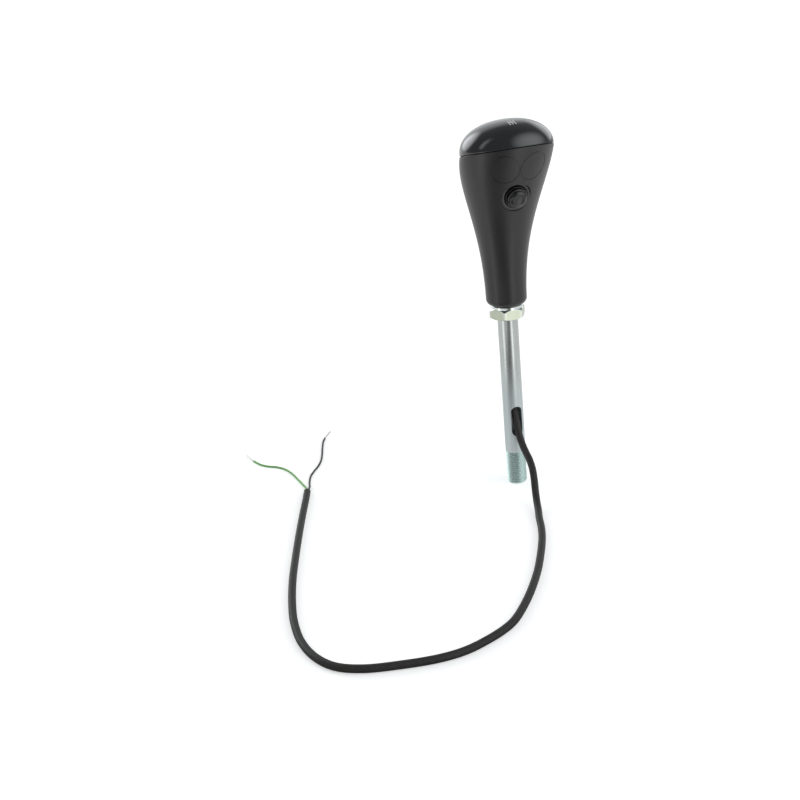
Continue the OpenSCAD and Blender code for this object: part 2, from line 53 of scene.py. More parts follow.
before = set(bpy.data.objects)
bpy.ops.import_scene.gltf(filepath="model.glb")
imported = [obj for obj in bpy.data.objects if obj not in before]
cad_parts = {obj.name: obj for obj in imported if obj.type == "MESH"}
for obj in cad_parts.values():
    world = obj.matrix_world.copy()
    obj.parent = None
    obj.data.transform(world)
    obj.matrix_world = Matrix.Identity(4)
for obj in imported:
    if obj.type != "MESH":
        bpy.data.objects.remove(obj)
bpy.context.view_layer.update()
TUBE_LOW, TUBE_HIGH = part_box("lever_tube")
NUT_LOW, NUT_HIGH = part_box("jam_nut")
GRIP_LOW, GRIP_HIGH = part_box("grip_body")
MM = 0.001


# ---- sizes and colours that a user would change ------------------------------
def number(name, description, default, **kind):
    """A plain number, or one of a kind such as a length."""
    return FloatProperty(name=name, description=description, default=default, **kind)


def length(name, description, default):
    """A size in metres."""
    return number(name, description, default, unit="LENGTH", precision=5)


def angle(name, description, degrees):
    """An angle, written in degrees."""
    return number(name, description, math.radians(degrees), subtype="ANGLE")


def direction(name, description, place):
    """The direction that a light comes from."""
    return FloatVectorProperty(name=name, description=description, default=place)


def colour(name, description, code):
    """A surface colour, written as a hex code and kept as a linear colour."""
    channels = [int(code[i : i + 2], 16) / 255 for i in (0, 2, 4)]
    linear = [c / 12.92 if c <= 0.04045 else ((c + 0.055) / 1.055) ** 2.4 for c in channels]
    return FloatVectorProperty(
        name=name, description=description, default=linear, subtype="COLOR", size=3, min=0, max=1
    )


class KNOB_GripForm(bpy.types.PropertyGroup):
    """Sizes of the grip and its cap."""

    grip_height: length("Grip height", "Foot to the middle of the parting plane", 0.0915)
    neck_half_width: length("Neck half width", "Half width of the neck at the foot", 0.0119)
    head_half_depth: length("Head half depth", "Half depth at the parting plane", 0.0251)
    head_lean: length("Head lean", "How far the head stands forward of the lever", 0.0145)
    parting_tilt: angle("Parting tilt", "Tilt of the parting plane, front edge up", 12.3)
    foot_round: length("Foot round", "Radius of the round edge at the foot", 0.0035)
    wall: length("Grip wall", "Wall of the hollow head", 0.0032)
    floor_height: length("Hollow floor", "Height of the hollow's floor over the foot", 0.032)
    bush_radius: length("Bush radius", "Outer radius of the threaded bush", 0.008)
    bush_length: length("Bush length", "Length of the threaded bush", 0.026)
    cap_height: length("Cap height", "Height of the dome over the parting plane", 0.01698)
    cap_fullness: number("Cap fullness", "2 is an ellipse, more has fuller shoulders", 2.14)
    cap_wall: length("Cap wall", "Wall of the cap", 0.0026)
    rim_depth: length("Rim depth", "Depth of the cap's locating rim", 0.002)
    rim_wall: length("Rim wall", "Thickness of the cap's locating rim", 0.0016)
    hook_length: length("Hook length", "Depth of the cap's snap hooks", 0.0075)
    hook_width: length("Hook width", "Width of the cap's snap hooks", 0.005)
    hook_catch: length("Hook catch", "How far a hook's catch stands out", 0.0015)
    groove: length("Shadow groove", "Width of the groove at the parting line", 0.00042)
    run_gap: length("Running gap", "Clearance around moving pieces", 0.0002)
    blank_diameter: length("Blank diameter", "Witness line of a blank place", 0.016)
    blank_space: length("Blank space", "Half the space between the blank places", 0.0004)
    blank_drop: length("Blank drop", "Parting plane to the blank places", 0.0065)
    blank_line: length("Blank line", "Width of a witness line", 0.0003)
    blank_depth: length("Blank depth", "Depth of a witness line", 0.0002)


class KNOB_SwitchForm(bpy.types.PropertyGroup):
    """Sizes of the push switch, along its own axis from the bezel's face."""

    drop: length("Button drop", "Parting plane to the button's middle", 0.0242)
    tilt: angle("Button tilt", "How far the button's axis points below level", 15.0)
    sink: length("Bezel sink", "How deep the bezel's face lies under the skin", 0.0014)
    bezel_diameter: length("Bezel diameter", "Diameter of the bezel", 0.0172)
    barrel_diameter: length("Barrel diameter", "Diameter of the threaded barrel", 0.015)
    bore_diameter: length("Bore diameter", "Bore that the button runs in", 0.013)
    skirt_diameter: length("Skirt diameter", "Diameter of the button's skirt", 0.0126)
    head_diameter: length("Head diameter", "Diameter of the button's head", 0.0112)
    head_out: length("Head out", "How far the head stands out of the bezel", 0.0048)
    flange: length("Flange", "Thickness of the bezel's flange", 0.0022)
    seat: length("Seat depth", "Depth of the washer's seat", 0.007)
    shelf_top: length("Shelf top", "Depth of the shelf under the spring", 0.0088)
    shelf_low: length("Shelf underside", "Depth of the shelf's underside", 0.0105)
    barrel_end: length("Barrel end", "Depth of the barrel's end", 0.019)
    washer_diameter: length("Washer diameter", "Diameter of the washer", 0.0204)


class KNOB_LeverForm(bpy.types.PropertyGroup):
    """Sizes of the lever's tube, its nut and its lead."""

    bore: length("Tube bore", "Radius of the tube's bore", 0.004)
    chamfer: length("Tube chamfer", "Chamfer of the tube's ends", 0.0008)
    thread_length: length("Thread length", "Length of the lower thread", 0.020)
    thread_pitch: length("Thread pitch", "Pitch of the lower thread", 0.00125)
    thread_depth: length("Thread depth", "Depth of the thread's groove", 0.00050)
    thread_under: length("Thread under", "Tube radius less the crests' radius", 0.00005)
    thread_runout: length("Thread run-out", "Length over which the thread fades", 0.0012)
    slot_width: length("Slot width", "Width of the lead's slot", 0.0068)
    slot_length: length("Slot length", "Length of the lead's slot", 0.019)
    slot_low: length("Slot height", "Height of the slot's lower end", 0.0312)
    nut_flats: length("Nut width", "Width of the jam nut across its flats", 0.019)
    nut_collar: length("Nut collar", "Height of the turned collar over the flats", 0.0017)
    nut_bevel: length("Nut bevel", "Height of the bevels under the collar", 0.0013)
    nut_foot: length("Nut foot bevel", "Height of the nut's lower corner bevels", 0.0010)
    nut_turn: angle("Nut turn", "How far the nut is screwed round", -29.0)
    hole_radius: length("Nut hole", "Radius of the holes on the tube", 0.00605)
    lead_diameter: length("Lead diameter", "Diameter of the lead's sheath", 0.0042)
    core_diameter: length("Core diameter", "Diameter of a core's insulation", 0.0013)
    strand_diameter: length("Strand diameter", "Diameter of the bare strands", 0.0009)


class KNOB_Colours(bpy.types.PropertyGroup):
    """Colours of the finishes."""

    grip: colour("Grip", "Satin moulded grip", "20201F")
    cap: colour("Cap", "Polished moulded cap", "0F0F11")
    mark: colour("Mark", "Printed gate mark on the cap", "C9CCC8")
    switch: colour("Switch", "Moulded switch housing", "242423")
    button: colour("Button", "Moulded button", "171716")
    tube: colour("Tube", "Bright zinc on the tube", "C2C8C6")
    thread: colour("Thread", "Zinc in the thread's grooves", "B4C8C4")
    nut: colour("Nut", "Passivated zinc on the nut", "BEC5B3")
    brass: colour("Brass", "Brass of bush and contacts", "C6A75F")
    steel: colour("Steel", "Spring steel", "A8ACAE")
    phenolic: colour("Base", "Moulded switch base", "5B3A22")
    nylon: colour("Nylon", "Tie and plunger", "DDD9CC")
    sheath: colour("Sheath", "Lead's outer sheath", "333130")
    green: colour("Green core", "Insulation of the green core", "7CB868")
    black: colour("Black core", "Insulation of the black core", "3A3839")
    tinned: colour("Tinned", "Tinned copper strands", "C8C8C4")


class KNOB_StageForm(bpy.types.PropertyGroup):
    """The camera, the floor and the lights round it."""

    azimuth: angle("Camera azimuth", "Turn of the camera round the lever", -15.04)
    elevation: angle("Camera elevation", "Height of the camera as an angle", 21.33)
    roll: angle("Camera roll", "Turn of the camera about its own axis", -5.288)
    distance: length("Camera distance", "Camera to its target", 0.8145)
    aside: length("Target aside", "Target's place to the camera's right", -0.06674)
    above: length("Target height", "Target's height", 0.05908)
    lens: number("Lens", "Focal length in mm", 61.74)
    sensor: number("Sensor", "Sensor width in mm", 36.0)
    floor_radius: length("Floor radius", "Radius of the round floor", 6.0)
    floor_tone: number("Floor tone", "Floor's reflectance", 0.84)
    floor_lift: number("Floor lift", "Brightness added for the camera", 0.50)
    # gloss level, cards and flag: painted light and shade in the floor's glow, seen only in
    # reflections
    gloss_level: number("Gloss level", "Brightness of the floor in reflections", 0.92)
    card_level: number("Card level", "Brightness of the side cards", 1.1)
    card_side: angle("Card side", "Direction midway between the two cards", -29.0)
    flag_aside: length("Flag aside", "Middle of the dark flag to the lever's right", -0.155)
    sky: number("Sky", "Strength of the even light", 0.30)
    key_place: direction("Key light", "Direction of the right front light", (0.656, -0.656, 0.375))
    key_power: number("Key power", "Strength of the key light", 1.75)
    rim_place: direction("Rim light", "Direction of the left rear light", (-0.48, 0.81, 0.33))
    rim_power: number("Rim power", "Strength of the rim light", 2.7)
    side_place: direction("Side light", "Direction of the right rear light", (0.771, 0.602, 0.208))
    side_power: number("Side power", "Strength of the side light", 1.15)
    back_place: direction("Back light", "Direction of the rear light", (0.03, 0.94, 0.34))
    back_power: number("Back power", "Strength of the back light", 0.65)
    strip_side: angle("Strip light", "Direction of the upright strip light", -85.0)
    strip_power: number("Strip power", "Strength of the strip", 1.3)


# ---- shader maths ------------------------------------------------------------
def operation(kind):
    """A method that adds one Math node of this kind."""
    return lambda wire, *others: wire.math(kind, wire, *others)


class Wire:
    """A number that a node gives out. Python's arithmetic on it adds Math nodes."""

    def __init__(self, tree, socket):
        self.tree, self.socket = tree, socket

    def math(self, operation, *values, clamp=False):
        """Adds one Math node on these values, which are wires or plain numbers."""
        node = self.tree.nodes.new("ShaderNodeMath")
        node.operation, node.use_clamp = operation, clamp
        for entry, value in zip(node.inputs, values):
            join(self.tree, entry, value)
        return Wire(self.tree, node.outputs[0])

    __add__ = __radd__ = operation("ADD")
    __sub__ = operation("SUBTRACT")
    __mul__ = __rmul__ = operation("MULTIPLY")
    __truediv__ = operation("DIVIDE")
    __pow__ = operation("POWER")
    __abs__ = operation("ABSOLUTE")
    least, most = operation("MINIMUM"), operation("MAXIMUM")

    def __rsub__(self, other):
        return self.math("SUBTRACT", other, self)

    def __neg__(self):
        return 0 - self

    def rise(self, low, high):
        """0 below low and 1 above high, straight between them."""
        return self.math("MULTIPLY", self - low, 1 / (high - low), clamp=True)

    def swell(self, low, high):
        """The same rise with soft ends: 3 s^2 - 2 s^3."""
        s = self.rise(low, high)
        return s * s * (3 - 2 * s)


def join(tree, entry, value):
    """Links a wire to a socket, or sets the socket to a plain value."""
    if isinstance(value, Wire):
        tree.links.new(value.socket, entry)
    else:
        entry.default_value = value


class Network:
    """The nodes of one material or world."""

    def __init__(self, owner, place):
        owner.use_nodes = True
        self.tree = owner.node_tree
        self.tree.nodes.clear()
        self.place = self.node("ShaderNodeTexCoord", output=place)

    def node(self, kind, settings=(), inputs=(), output=0):
        """Adds a node, applies its settings, fills its sockets and gives one output."""
        node = self.tree.nodes.new(kind)
        for key, value in dict(settings).items():
            setattr(node, key, value)
        for key, value in dict(inputs).items():
            join(self.tree, node.inputs[key], value)
        return None if output is None else Wire(self.tree, node.outputs[output])

    def moved(self, turn=(0, 0, 0), shift=(0, 0, 0), stretch=(1, 1, 1)):
        """The pattern's place, stretched, then turned, then shifted."""
        inputs = {"Vector": self.place, "Location": shift, "Rotation": turn, "Scale": stretch}
        return self.node("ShaderNodeMapping", inputs=inputs)

    def noise(self, scale, detail=2.0, stretch=(1, 1, 1), rough=0.5):
        """Cloudy noise from 0 to 1, of about 1 / scale metres."""
        place = self.moved(stretch=stretch)
        inputs = {"Vector": place, "Scale": scale, "Detail": detail, "Roughness": rough}
        return self.node("ShaderNodeTexNoise", inputs=inputs)

    def bands(self, along, scale, detail):
        """Noise that changes with one value alone."""
        inputs = {"W": along, "Scale": scale, "Detail": detail}
        return self.node("ShaderNodeTexNoise", {"noise_dimensions": "1D"}, inputs)

    def axis(self, name, place=None):
        """One coordinate of the pattern's place."""
        return self.node("ShaderNodeSeparateXYZ", inputs={0: place or self.place}, output=name)

    def radius(self):
        """Distance from the z axis."""
        x, y = self.axis("X"), self.axis("Y")
        return (x * x + y * y) ** 0.5

    def mix(self, amount, first, second):
        """A colour between two colours."""
        node = self.tree.nodes.new("ShaderNodeMix")
        node.data_type = "RGBA"
        for entry, value in ((0, amount), (6, first), (7, second)):
            value = value if isinstance(value, (Wire, float)) else (*value, 1)
            join(self.tree, node.inputs[entry], value)
        return Wire(self.tree, node.outputs[2])

    def shaded(self, amount, base, low, high):
        """A colour between two tones of a base colour."""
        return self.mix(amount, shade(base, low), shade(base, high))

    def outlet(self, kind, shader):
        """Ends the network in its one output node."""
        for node in [n for n in self.tree.nodes if n.bl_idname == kind]:
            self.tree.nodes.remove(node)
        self.node(kind, inputs={"Surface": shader}, output=None)


class Finish(Network):
    """One material: a Principled shader and the nodes that vary it."""

    def __init__(self, name, **constants):
        self.material = bpy.data.materials.new(name)
        super().__init__(self.material, "Object")
        values = {key.replace("_", " "): value for key, value in constants.items()}
        self.surface = self.node("ShaderNodeBsdfPrincipled", inputs=values)
        self.shader = self.surface.socket.node
        self.outlet("ShaderNodeOutputMaterial", self.surface)

    def bump(self, height, distance, strength=1.0):
        """Feeds the shader's normal from a height field of this depth in metres."""
        inputs = {"Strength": strength, "Distance": distance, "Height": height}
        self.feed("Normal", self.node("ShaderNodeBump", inputs=inputs))

    def feed(self, entry, wire):
        """Links a wire to one of the shader's sockets."""
        join(self.tree, self.shader.inputs[entry], wire)


def shade(base, factor):
    """A colour made lighter or darker."""
    return tuple(min(1.0, c * factor) for c in base)


# ---- surfaces ----------------------------------------------------------------
def turns(count):
    """Evenly spaced angles round a full turn."""
    return np.arange(count) * (2 * np.pi / count)


def cubic(controls, t):
    """A cubic curve: the Bernstein sum of four control values."""
    a, b, c, d = controls
    s = 1 - t
    return a * s**3 + 3 * b * s * s * t + 3 * c * s * t * t + d * t**3


def ellipses(y, z, a, b, tilt, lift, around):
    """Rings x = a cos u, with b sin u along y tilted by tilt about x, each ring
    then moved by lift along its own normal."""
    columns = (np.atleast_1d(np.asarray(v, float))[:, None] for v in (y, z, a, b, tilt, lift))
    y, z, a, b, tilt, lift = columns
    v = b * np.sin(around)
    x = a * np.cos(around) + 0 * v
    out = y + v * np.cos(tilt) + lift * np.sin(tilt)
    up = z - v * np.sin(tilt) + lift * np.cos(tilt)
    return np.stack(np.broadcast_arrays(x, out, up), -1)


def smaller(a, b, blend):
    """The smaller of two fields, rounded over where they are within blend."""
    h = np.clip(0.5 + 0.5 * (b - a) / blend, 0, 1)
    return b * (1 - h) + a * h - blend * h * (1 - h)


def rounded(corners, steps=5):
    """An outline of (r, z, radius) corners, each corner of a radius turned into an
    arc that touches both its sides."""
    points = []
    for i, (r, z, radius) in enumerate(corners):
        here = np.array((r, z))
        if not radius or i in (0, len(corners) - 1):
            points.append(here[None])
            continue
        before = np.array(corners[i - 1][:2]) - here
        after = np.array(corners[i + 1][:2]) - here
        before, after = before / np.hypot(*before), after / np.hypot(*after)
        half = math.acos(np.clip(before @ after, -1, 1)) / 2
        inner = (before + after) / np.hypot(*(before + after))
        middle = here + inner * radius / math.sin(half)
        swing = np.linspace(-1, 1, steps)[:, None] * (math.pi / 2 - half)
        side = (after - before) / np.hypot(*(after - before))
        points.append(middle + radius * (-inner * np.cos(swing) + side * np.sin(swing)))
    return np.concatenate(points)


def polar(r, around, z):
    """Points at radius r and height z, turned round the z axis."""
    return np.stack(np.broadcast_arrays(r * np.cos(around), r * np.sin(around), z), -1)


def turned(profile, around):
    """The profile's (r, z) points carried round the z axis."""
    r, z = np.asarray(profile, float).T[:, :, None]
    return polar(r, around, z)


def carried(path, reference, around, radius):
    """A ring of the given radius carried along a path and square to it: middle +
    radius (side cos u + other sin u), where side is the reference direction with
    its share along the path taken out."""
    way = np.gradient(path, axis=0)
    way /= np.linalg.norm(way, axis=1, keepdims=True)
    side = reference - (way @ reference)[:, None] * way
    side /= np.linalg.norm(side, axis=1, keepdims=True)
    side, other = side[:, None], np.cross(way, side)[:, None]
    radius = np.broadcast_to(radius, (len(path), len(around)))[..., None]
    around = around[None, :, None]
    return path[:, None] + radius * (np.cos(around) * side + np.sin(around) * other)


def smooth(points, count):
    """Catmull-Rom curve through the points, with count steps to each stretch."""
    p = np.asarray(points, float)
    padded = np.concatenate([p[:1], p, p[-1:]])
    t = (np.arange(count) / count)[None, :, None]
    a, b, c, d = (padded[i : i + len(p) - 1, None] for i in range(4))
    square, cube = 2 * a - 5 * b + 4 * c - d, 3 * b - a - 3 * c + d
    curve = (2 * b + (c - a) * t + square * t**2 + cube * t**3) / 2
    return np.concatenate([curve.reshape(-1, 3), p[-1:]])


def strides(path):
    """Distances between a path's neighbouring points."""
    return np.linalg.norm(np.diff(path, axis=0), axis=1)


def path_places(path):
    """How far along the path each of its points lies."""
    return np.concatenate([[0], strides(path).cumsum()])


def heading(path):
    """Unit direction in which a path ends."""
    return (path[-1] - path[-2]) / np.linalg.norm(path[-1] - path[-2])


def grid_faces(rows, columns, loop):
    """Quads between neighbouring rings; loop joins the last ring to the first."""
    i = np.arange(rows if loop else rows - 1)[:, None]
    j = np.arange(columns)[None, :]
    low, high = i * columns, ((i + 1) % rows) * columns
    k = (j + 1) % columns
    return np.stack([low + j, low + k, high + k, high + j], -1).reshape(-1, 4)


def ring_mesh(rings, loop=False, flat_ends=False, along=None):
    """A closed mesh from a grid of rings. Open ends close with a fan to a middle
    point, or with one flat face. along adds a UV map: u round, v along in metres."""
    rows, columns = rings.shape[:2]
    points = rings.reshape(-1, 3)
    quads = grid_faces(rows, columns, loop)
    fans, flats = np.zeros((0, 3), int), []
    j = np.arange(columns)
    k = (j + 1) % columns
    last = (rows - 1) * columns
    if not loop and flat_ends:
        flats = [j[::-1].tolist(), (last + j).tolist()]
    elif not loop:
        low, high = j * 0 + len(points), j * 0 + len(points) + 1
        points = np.concatenate([points, rings[[0, -1]].mean(1)])
        ends = [(low, k, j), (high, last + j, last + k)]
        fans = np.concatenate([np.stack(end, -1) for end in ends])
    corner = points[quads]
    halves = np.concatenate([corner[:, [0, 1, 2]], corner[:, [0, 2, 3]], points[fans]])
    volume = np.einsum("ij,ij->i", halves[:, 0], np.cross(halves[:, 1], halves[:, 2])).sum()
    if volume < 0:
        quads, fans = quads[:, ::-1], fans[:, ::-1]
        flats = [face[::-1] for face in flats]
    mesh = bpy.data.meshes.new("rings")
    mesh.from_pydata(points.tolist(), [], quads.tolist() + fans.tolist() + flats)
    if along is not None:
        u = np.stack([j, j + 1, j + 1, j], -1) / columns
        v = np.stack([along[:-1], along[:-1], along[1:], along[1:]], -1)[:, None]
        uv = np.stack(np.broadcast_arrays(u, v), -1).reshape(-1, 4, 2)
        uv = uv[:, ::-1] if volume < 0 else uv
        tail = np.zeros((len(mesh.loops) - uv.shape[0] * 4, 2))
        layer = mesh.uv_layers.new(name="surface")
        layer.data.foreach_set("uv", np.concatenate([uv.reshape(-1, 2), tail]).ravel())
    return mesh


def add_piece(name, mesh):
    """Puts a mesh or a camera in the scene as an object at the origin."""
    piece = bpy.data.objects.new(name, mesh)
    bpy.context.scene.collection.objects.link(piece)
    return piece


def add_rings(name, rings, **how):
    """Puts a grid of rings in the scene as a closed piece."""
    return add_piece(name, ring_mesh(rings, **how))


def trim(piece, tool, operation="DIFFERENCE", **how):
    """Cuts a piece with a tool, or joins or intersects the two. The tool is a grid
    of rings or another piece, and is used up."""
    if not isinstance(tool, bpy.types.Object):
        tool = add_rings("tool", tool, **how)
    modifier = piece.modifiers.new("trim", "BOOLEAN")
    modifier.operation, modifier.solver, modifier.object = operation, "EXACT", tool
    graph = bpy.context.evaluated_depsgraph_get()
    used = piece.data, tool.data
    piece.data = bpy.data.meshes.new_from_object(piece.evaluated_get(graph))
    piece.modifiers.clear()
    bpy.data.objects.remove(tool)
    for mesh in used:
        bpy.data.meshes.remove(mesh)
    if not piece.data.polygons:
        raise RuntimeError(f"{piece.name} was lost in a cut")


def finish_piece(piece, material, body, nodes, sharp=35.0):
    """Smooths a piece, keeps its sharp edges, and gives it its finish and body."""
    mesh = piece.data
    mesh.name = piece.name
    mesh.polygons.foreach_set("use_smooth", np.ones(len(mesh.polygons), bool))
    mesh.set_sharp_from_angle(angle=math.radians(sharp))
    mesh.materials.clear()
    mesh.materials.append(material)
    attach(piece, body)
    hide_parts(*nodes)
    return piece


# ---- the grip's skin and the button's frame ----------------------------------
class Skin:
    """The grip's outer surface: ellipses whose middle, half widths and tilt follow
    cubic curves of t, from 0 at the foot to 1 at the parting plane."""

    def __init__(self, form):
        width, depth, neck = GRIP_HIGH.x, form.head_half_depth, form.neck_half_width
        waist, oval, fall = 0.7 * MM, 0.1 * MM, 0.3 * MM
        self.foot, self.width, self.depth = GRIP_LOW.z, width, depth
        self.lean, self.rise, self.slant = form.head_lean, form.grip_height, form.parting_tilt
        self.a = (neck, neck - waist, width - oval, width)
        self.b = (neck - oval, neck - waist, depth - fall, depth)
        self.y = (0, 0, -0.24 * self.lean, -self.lean)
        self.z = (0, 0.51 * self.rise, 0.75 * self.rise, self.rise)
        self.tilt = (0, 0, 0.16 * self.slant, self.slant)
        self.steps = np.linspace(0, 1, 4001)

    def t_at(self, height):
        """Where the rings' middles reach a height over the foot."""
        return np.interp(height, cubic(self.z, self.steps), self.steps)

    def point(self, t, turn):
        """The skin's point at t, turned round from the front."""
        front, tilt = cubic(self.b, t) * math.cos(turn), cubic(self.tilt, t)
        x, y = cubic(self.a, t) * math.sin(turn), cubic(self.y, t) - front * np.cos(tilt)
        return np.stack([x, y, self.foot + cubic(self.z, t) + front * np.sin(tilt)], -1)

    def point_at(self, height, turn):
        """The skin's point at a height over the foot, turned round from the front."""
        heights = self.point(self.steps, turn)[:, 2] - self.foot
        return self.point(np.interp(height, heights, self.steps), turn)

    def rings(self, t, inset, around):
        """Cross-sections at t, drawn in by inset."""
        middle = cubic(self.y, t), self.foot + cubic(self.z, t)
        halves = cubic(self.a, t) - inset, cubic(self.b, t) - inset
        return ellipses(*middle, *halves, cubic(self.tilt, t), 0, around)

    def parting(self, inset, lift, around, shrink=1):
        """Rings square to the parting plane's normal, lifted along it."""
        inset = np.asarray(inset, float)
        halves = (self.width - inset) * shrink, (self.depth - inset) * shrink
        return ellipses(-self.lean, self.foot + self.rise, *halves, self.slant, lift, around)

    def dome(self, turn, inset, base_lift, height, fullness, around):
        """The cap's rings: half widths fall with cos^(2/p) and height grows with
        sin^(2/p) of the turn, p being the fullness."""
        shrink, grow = np.cos(turn) ** (2 / fullness), np.sin(turn) ** (2 / fullness)
        lift = base_lift + (height - inset - base_lift) * grow
        return self.parting(inset, lift, around, shrink)

    def parting_frame(self):
        """Matrix from the parting plane's own axes, z along its normal."""
        place = Matrix.Translation((0, -self.lean, self.foot + self.rise))
        return place @ Matrix.Rotation(-self.slant, 4, "X")


def button_frame(skin, form):
    """Matrix from the button's own axes: z points out of the grip, 0 in the bezel's face."""
    spot = skin.point_at(skin.rise - form.drop, 0.0)
    out = np.array((0, -math.cos(form.tilt), -math.sin(form.tilt)))
    place = Matrix.Translation(spot - form.sink * out)
    return place @ Matrix.Rotation(math.pi / 2 + form.tilt, 4, "X")


def placed(rings, matrix):
    """Rings moved from a piece's own axes into the frame's."""
    m = np.array(matrix)
    return rings @ m[:3, :3].T + m[:3, 3]


def block(low, high):
    """A box as two rings of four corners, from its lowest and highest corner."""
    (x0, y0, z0), (x1, y1, z1) = low, high
    ring = [(x0, y0), (x1, y0), (x1, y1), (x0, y1)]
    return np.array([[(x, y, z) for x, y in ring] for z in (z0, z1)], float)


# ---- finishes ----------------------------------------------------------------
def grip_finish(colours):
    """Satin moulding with a fine spark-eroded grain."""
    f = Finish("satin_moulding", Specular_IOR_Level=0.5)
    cloud, grain, speck = f.noise(45, 3), f.noise(2600, 2), f.noise(900, 4, rough=0.65)
    f.feed("Base Color", f.shaded(cloud * 0.5 + speck * 0.5, colours.grip, 0.86, 1.14))
    f.feed("Roughness", 0.27 + cloud * 0.07 + grain * 0.07)
    f.bump(grain * 0.7 + speck * 0.3, 0.00004, 0.55)
    return f.material


def gate_mark(f, flat):
    """A plain shift gate: three upright strokes joined by a bar, each the distance to
    a line less its half width, laid out flat over the parting plane."""
    middle_x, middle_y, half_wide, half_tall = -0.7 * MM, -15 * MM, 1.6 * MM, 2.6 * MM
    half_stroke, half_bar, edge = 0.32 * MM, 0.45 * MM, 0.04 * MM
    x, y = f.axis("X", flat), f.axis("Y", flat)
    mark = (abs(y - middle_y) - half_bar).most(abs(x - middle_x) - half_wide)
    for aside in (-half_wide, 0.0, half_wide):
        stroke = (abs(x - (middle_x + aside)) - half_stroke).most(abs(y - middle_y) - half_tall)
        mark = mark.least(stroke)
    return 1 - mark.rise(-edge, edge)


def cap_finish(colours, skin):
    """Polished moulding with a printed gate mark and faint wiping scratches. Down in the
    parting groove its edge is dull, with painted shade: a near black colour."""
    f = Finish("polished_moulding", Specular_IOR_Level=0.55, Coat_Roughness=0.04)
    cloud, peel = f.noise(30, 2), f.noise(260, 1)
    wipe = f.noise(700, 3, stretch=(1, 0.08, 1), rough=0.7)
    back = skin.parting_frame().inverted()
    flat = f.moved(turn=tuple(back.to_euler()), shift=tuple(back.translation))
    groove_low, groove_top, groove_shade = 0.45 * MM, 0.7 * MM, (0.001, 0.001, 0.001)
    mark, groove = gate_mark(f, flat), 1 - f.axis("Z", flat).rise(groove_low, groove_top)
    printed = f.mix(mark, f.shaded(cloud, colours.cap, 0.85, 1.2), tuple(colours.mark))
    # painted shade: the cap's edge down in the parting groove is coloured near black
    f.feed("Base Color", f.mix(groove, printed, groove_shade))
    gloss = 0.10 + cloud * 0.04 + wipe.rise(0.55, 0.8) * 0.06 + mark * 0.25
    f.feed("Roughness", gloss.most(groove * 0.95))
    f.feed("Coat Weight", 0.5 * (1 - mark.most(groove)))
    f.bump(peel + mark * 0.2, 0.00001, 0.35)
    return f.material


def moulding_finish(name, base, roughness, grain_size):
    """Plain moulded plastic: cloudy tone and fine grain."""
    f = Finish(name, Specular_IOR_Level=0.5)
    cloud, grain = f.noise(120, 3), f.noise(grain_size, 2)
    f.feed("Base Color", f.shaded(cloud, base, 0.8, 1.2))
    f.feed("Roughness", roughness + cloud * 0.08 + grain * 0.05)
    f.bump(grain, 0.00003, 0.4)
    return f.material


def tube_finish(colours, lever):
    """Bright zinc on drawn steel: long draw lines and cloudy zinc, paler, duller and streaked
    near the foot, and painted shade in the thread: darker grooves and lighter crests."""
    f = Finish("zinc_on_drawn_tube", Metallic=1.0)
    cloud, speck = f.noise(110, 4, rough=0.6), f.noise(3000, 2)
    draw = f.noise(1500, 3, stretch=(1, 1, 0.02), rough=0.6)
    streak = f.noise(480, 2, stretch=(1, 1, 0.05))
    foot_low, foot_top, foot_tone = 0.045, 0.08, (0.60, 0.67, 0.69)
    z, crest, groove_start = f.axis("Z"), TUBE_HIGH.x - lever.thread_under, 0.08 * MM
    groove = (crest - f.radius()).rise(groove_start, lever.thread_depth)
    threaded = 1 - z.rise(lever.thread_length, lever.thread_length + lever.thread_runout)
    dull = 1 - z.rise(foot_low, foot_top)
    pale = f.mix(dull * 0.8, f.shaded(cloud, colours.tube, 0.84, 1.06), foot_tone)
    streaked = f.mix(streak.rise(0.45, 0.75) * 0.30, pale, shade(colours.tube, 0.55))
    drawn = f.mix(draw.rise(0.35, 0.75) * 0.35, streaked, shade(colours.tube, 0.62))
    # painted shade: the thread's grooves are darkened and its crests lightened
    cut = f.shaded(groove * 0.7, colours.thread, 1.15, 0.7)
    f.feed("Base Color", f.mix(threaded * 0.85, drawn, cut))
    f.feed("Roughness", 0.15 + cloud * 0.10 + draw * 0.06 + dull * 0.24 + threaded * 0.04)
    f.bump(draw * 0.6 + speck * 0.25 + cloud * 0.4, 0.00002, 0.5)
    return f.material


def nut_finish(colours, lever):
    """Yellowish passivated zinc with turned rings on the faces and rubbed corners. The
    collar and the bevel under it, above a slope of the depth against the radius, are
    turned bright."""
    f = Finish("passivated_zinc", Metallic=1.0)
    cloud, crystal, speck = f.noise(160, 4, rough=0.6), f.noise(900, 3), f.noise(2600, 2)
    z, radius, half = f.axis("Z"), f.radius(), lever.nut_flats / 2
    rub_start, rub_full, rub_tone = 10.1 * MM, 10.7 * MM, (0.80, 0.80, 0.78)
    slope = lever.nut_bevel / (half / math.cos(math.pi / 6) - half)
    under = (NUT_HIGH.z - lever.nut_collar) - z - (radius - half) * slope
    bright = 1 - under.rise(0.05 * MM, 0.15 * MM)
    rings, rubbed = f.bands(radius, 6000.0, 2.0), radius.rise(rub_start, rub_full)
    worn = f.mix(rubbed * 0.3, f.shaded(cloud, colours.nut, 0.88, 1.05), rub_tone)
    f.feed("Base Color", f.mix(bright, worn, shade(colours.tube, 1.25)))
    f.feed("Roughness", (0.20 + cloud * 0.10 + crystal * 0.06) * (1 - bright * 0.5))
    f.bump(crystal * 0.4 + rings * 0.3 + speck * 0.3, 0.00002, 0.5)
    return f.material


def metal_finish(name, base, roughness):
    """Plain rolled or drawn metal with a cloudy tarnish."""
    f = Finish(name, Metallic=1.0)
    cloud, fine = f.noise(300, 4, rough=0.6), f.noise(3200, 2)
    f.feed("Base Color", f.shaded(cloud, base, 0.75, 1.08))
    f.feed("Roughness", roughness + cloud * 0.12)
    f.bump(fine, 0.00001, 0.4)
    return f.material


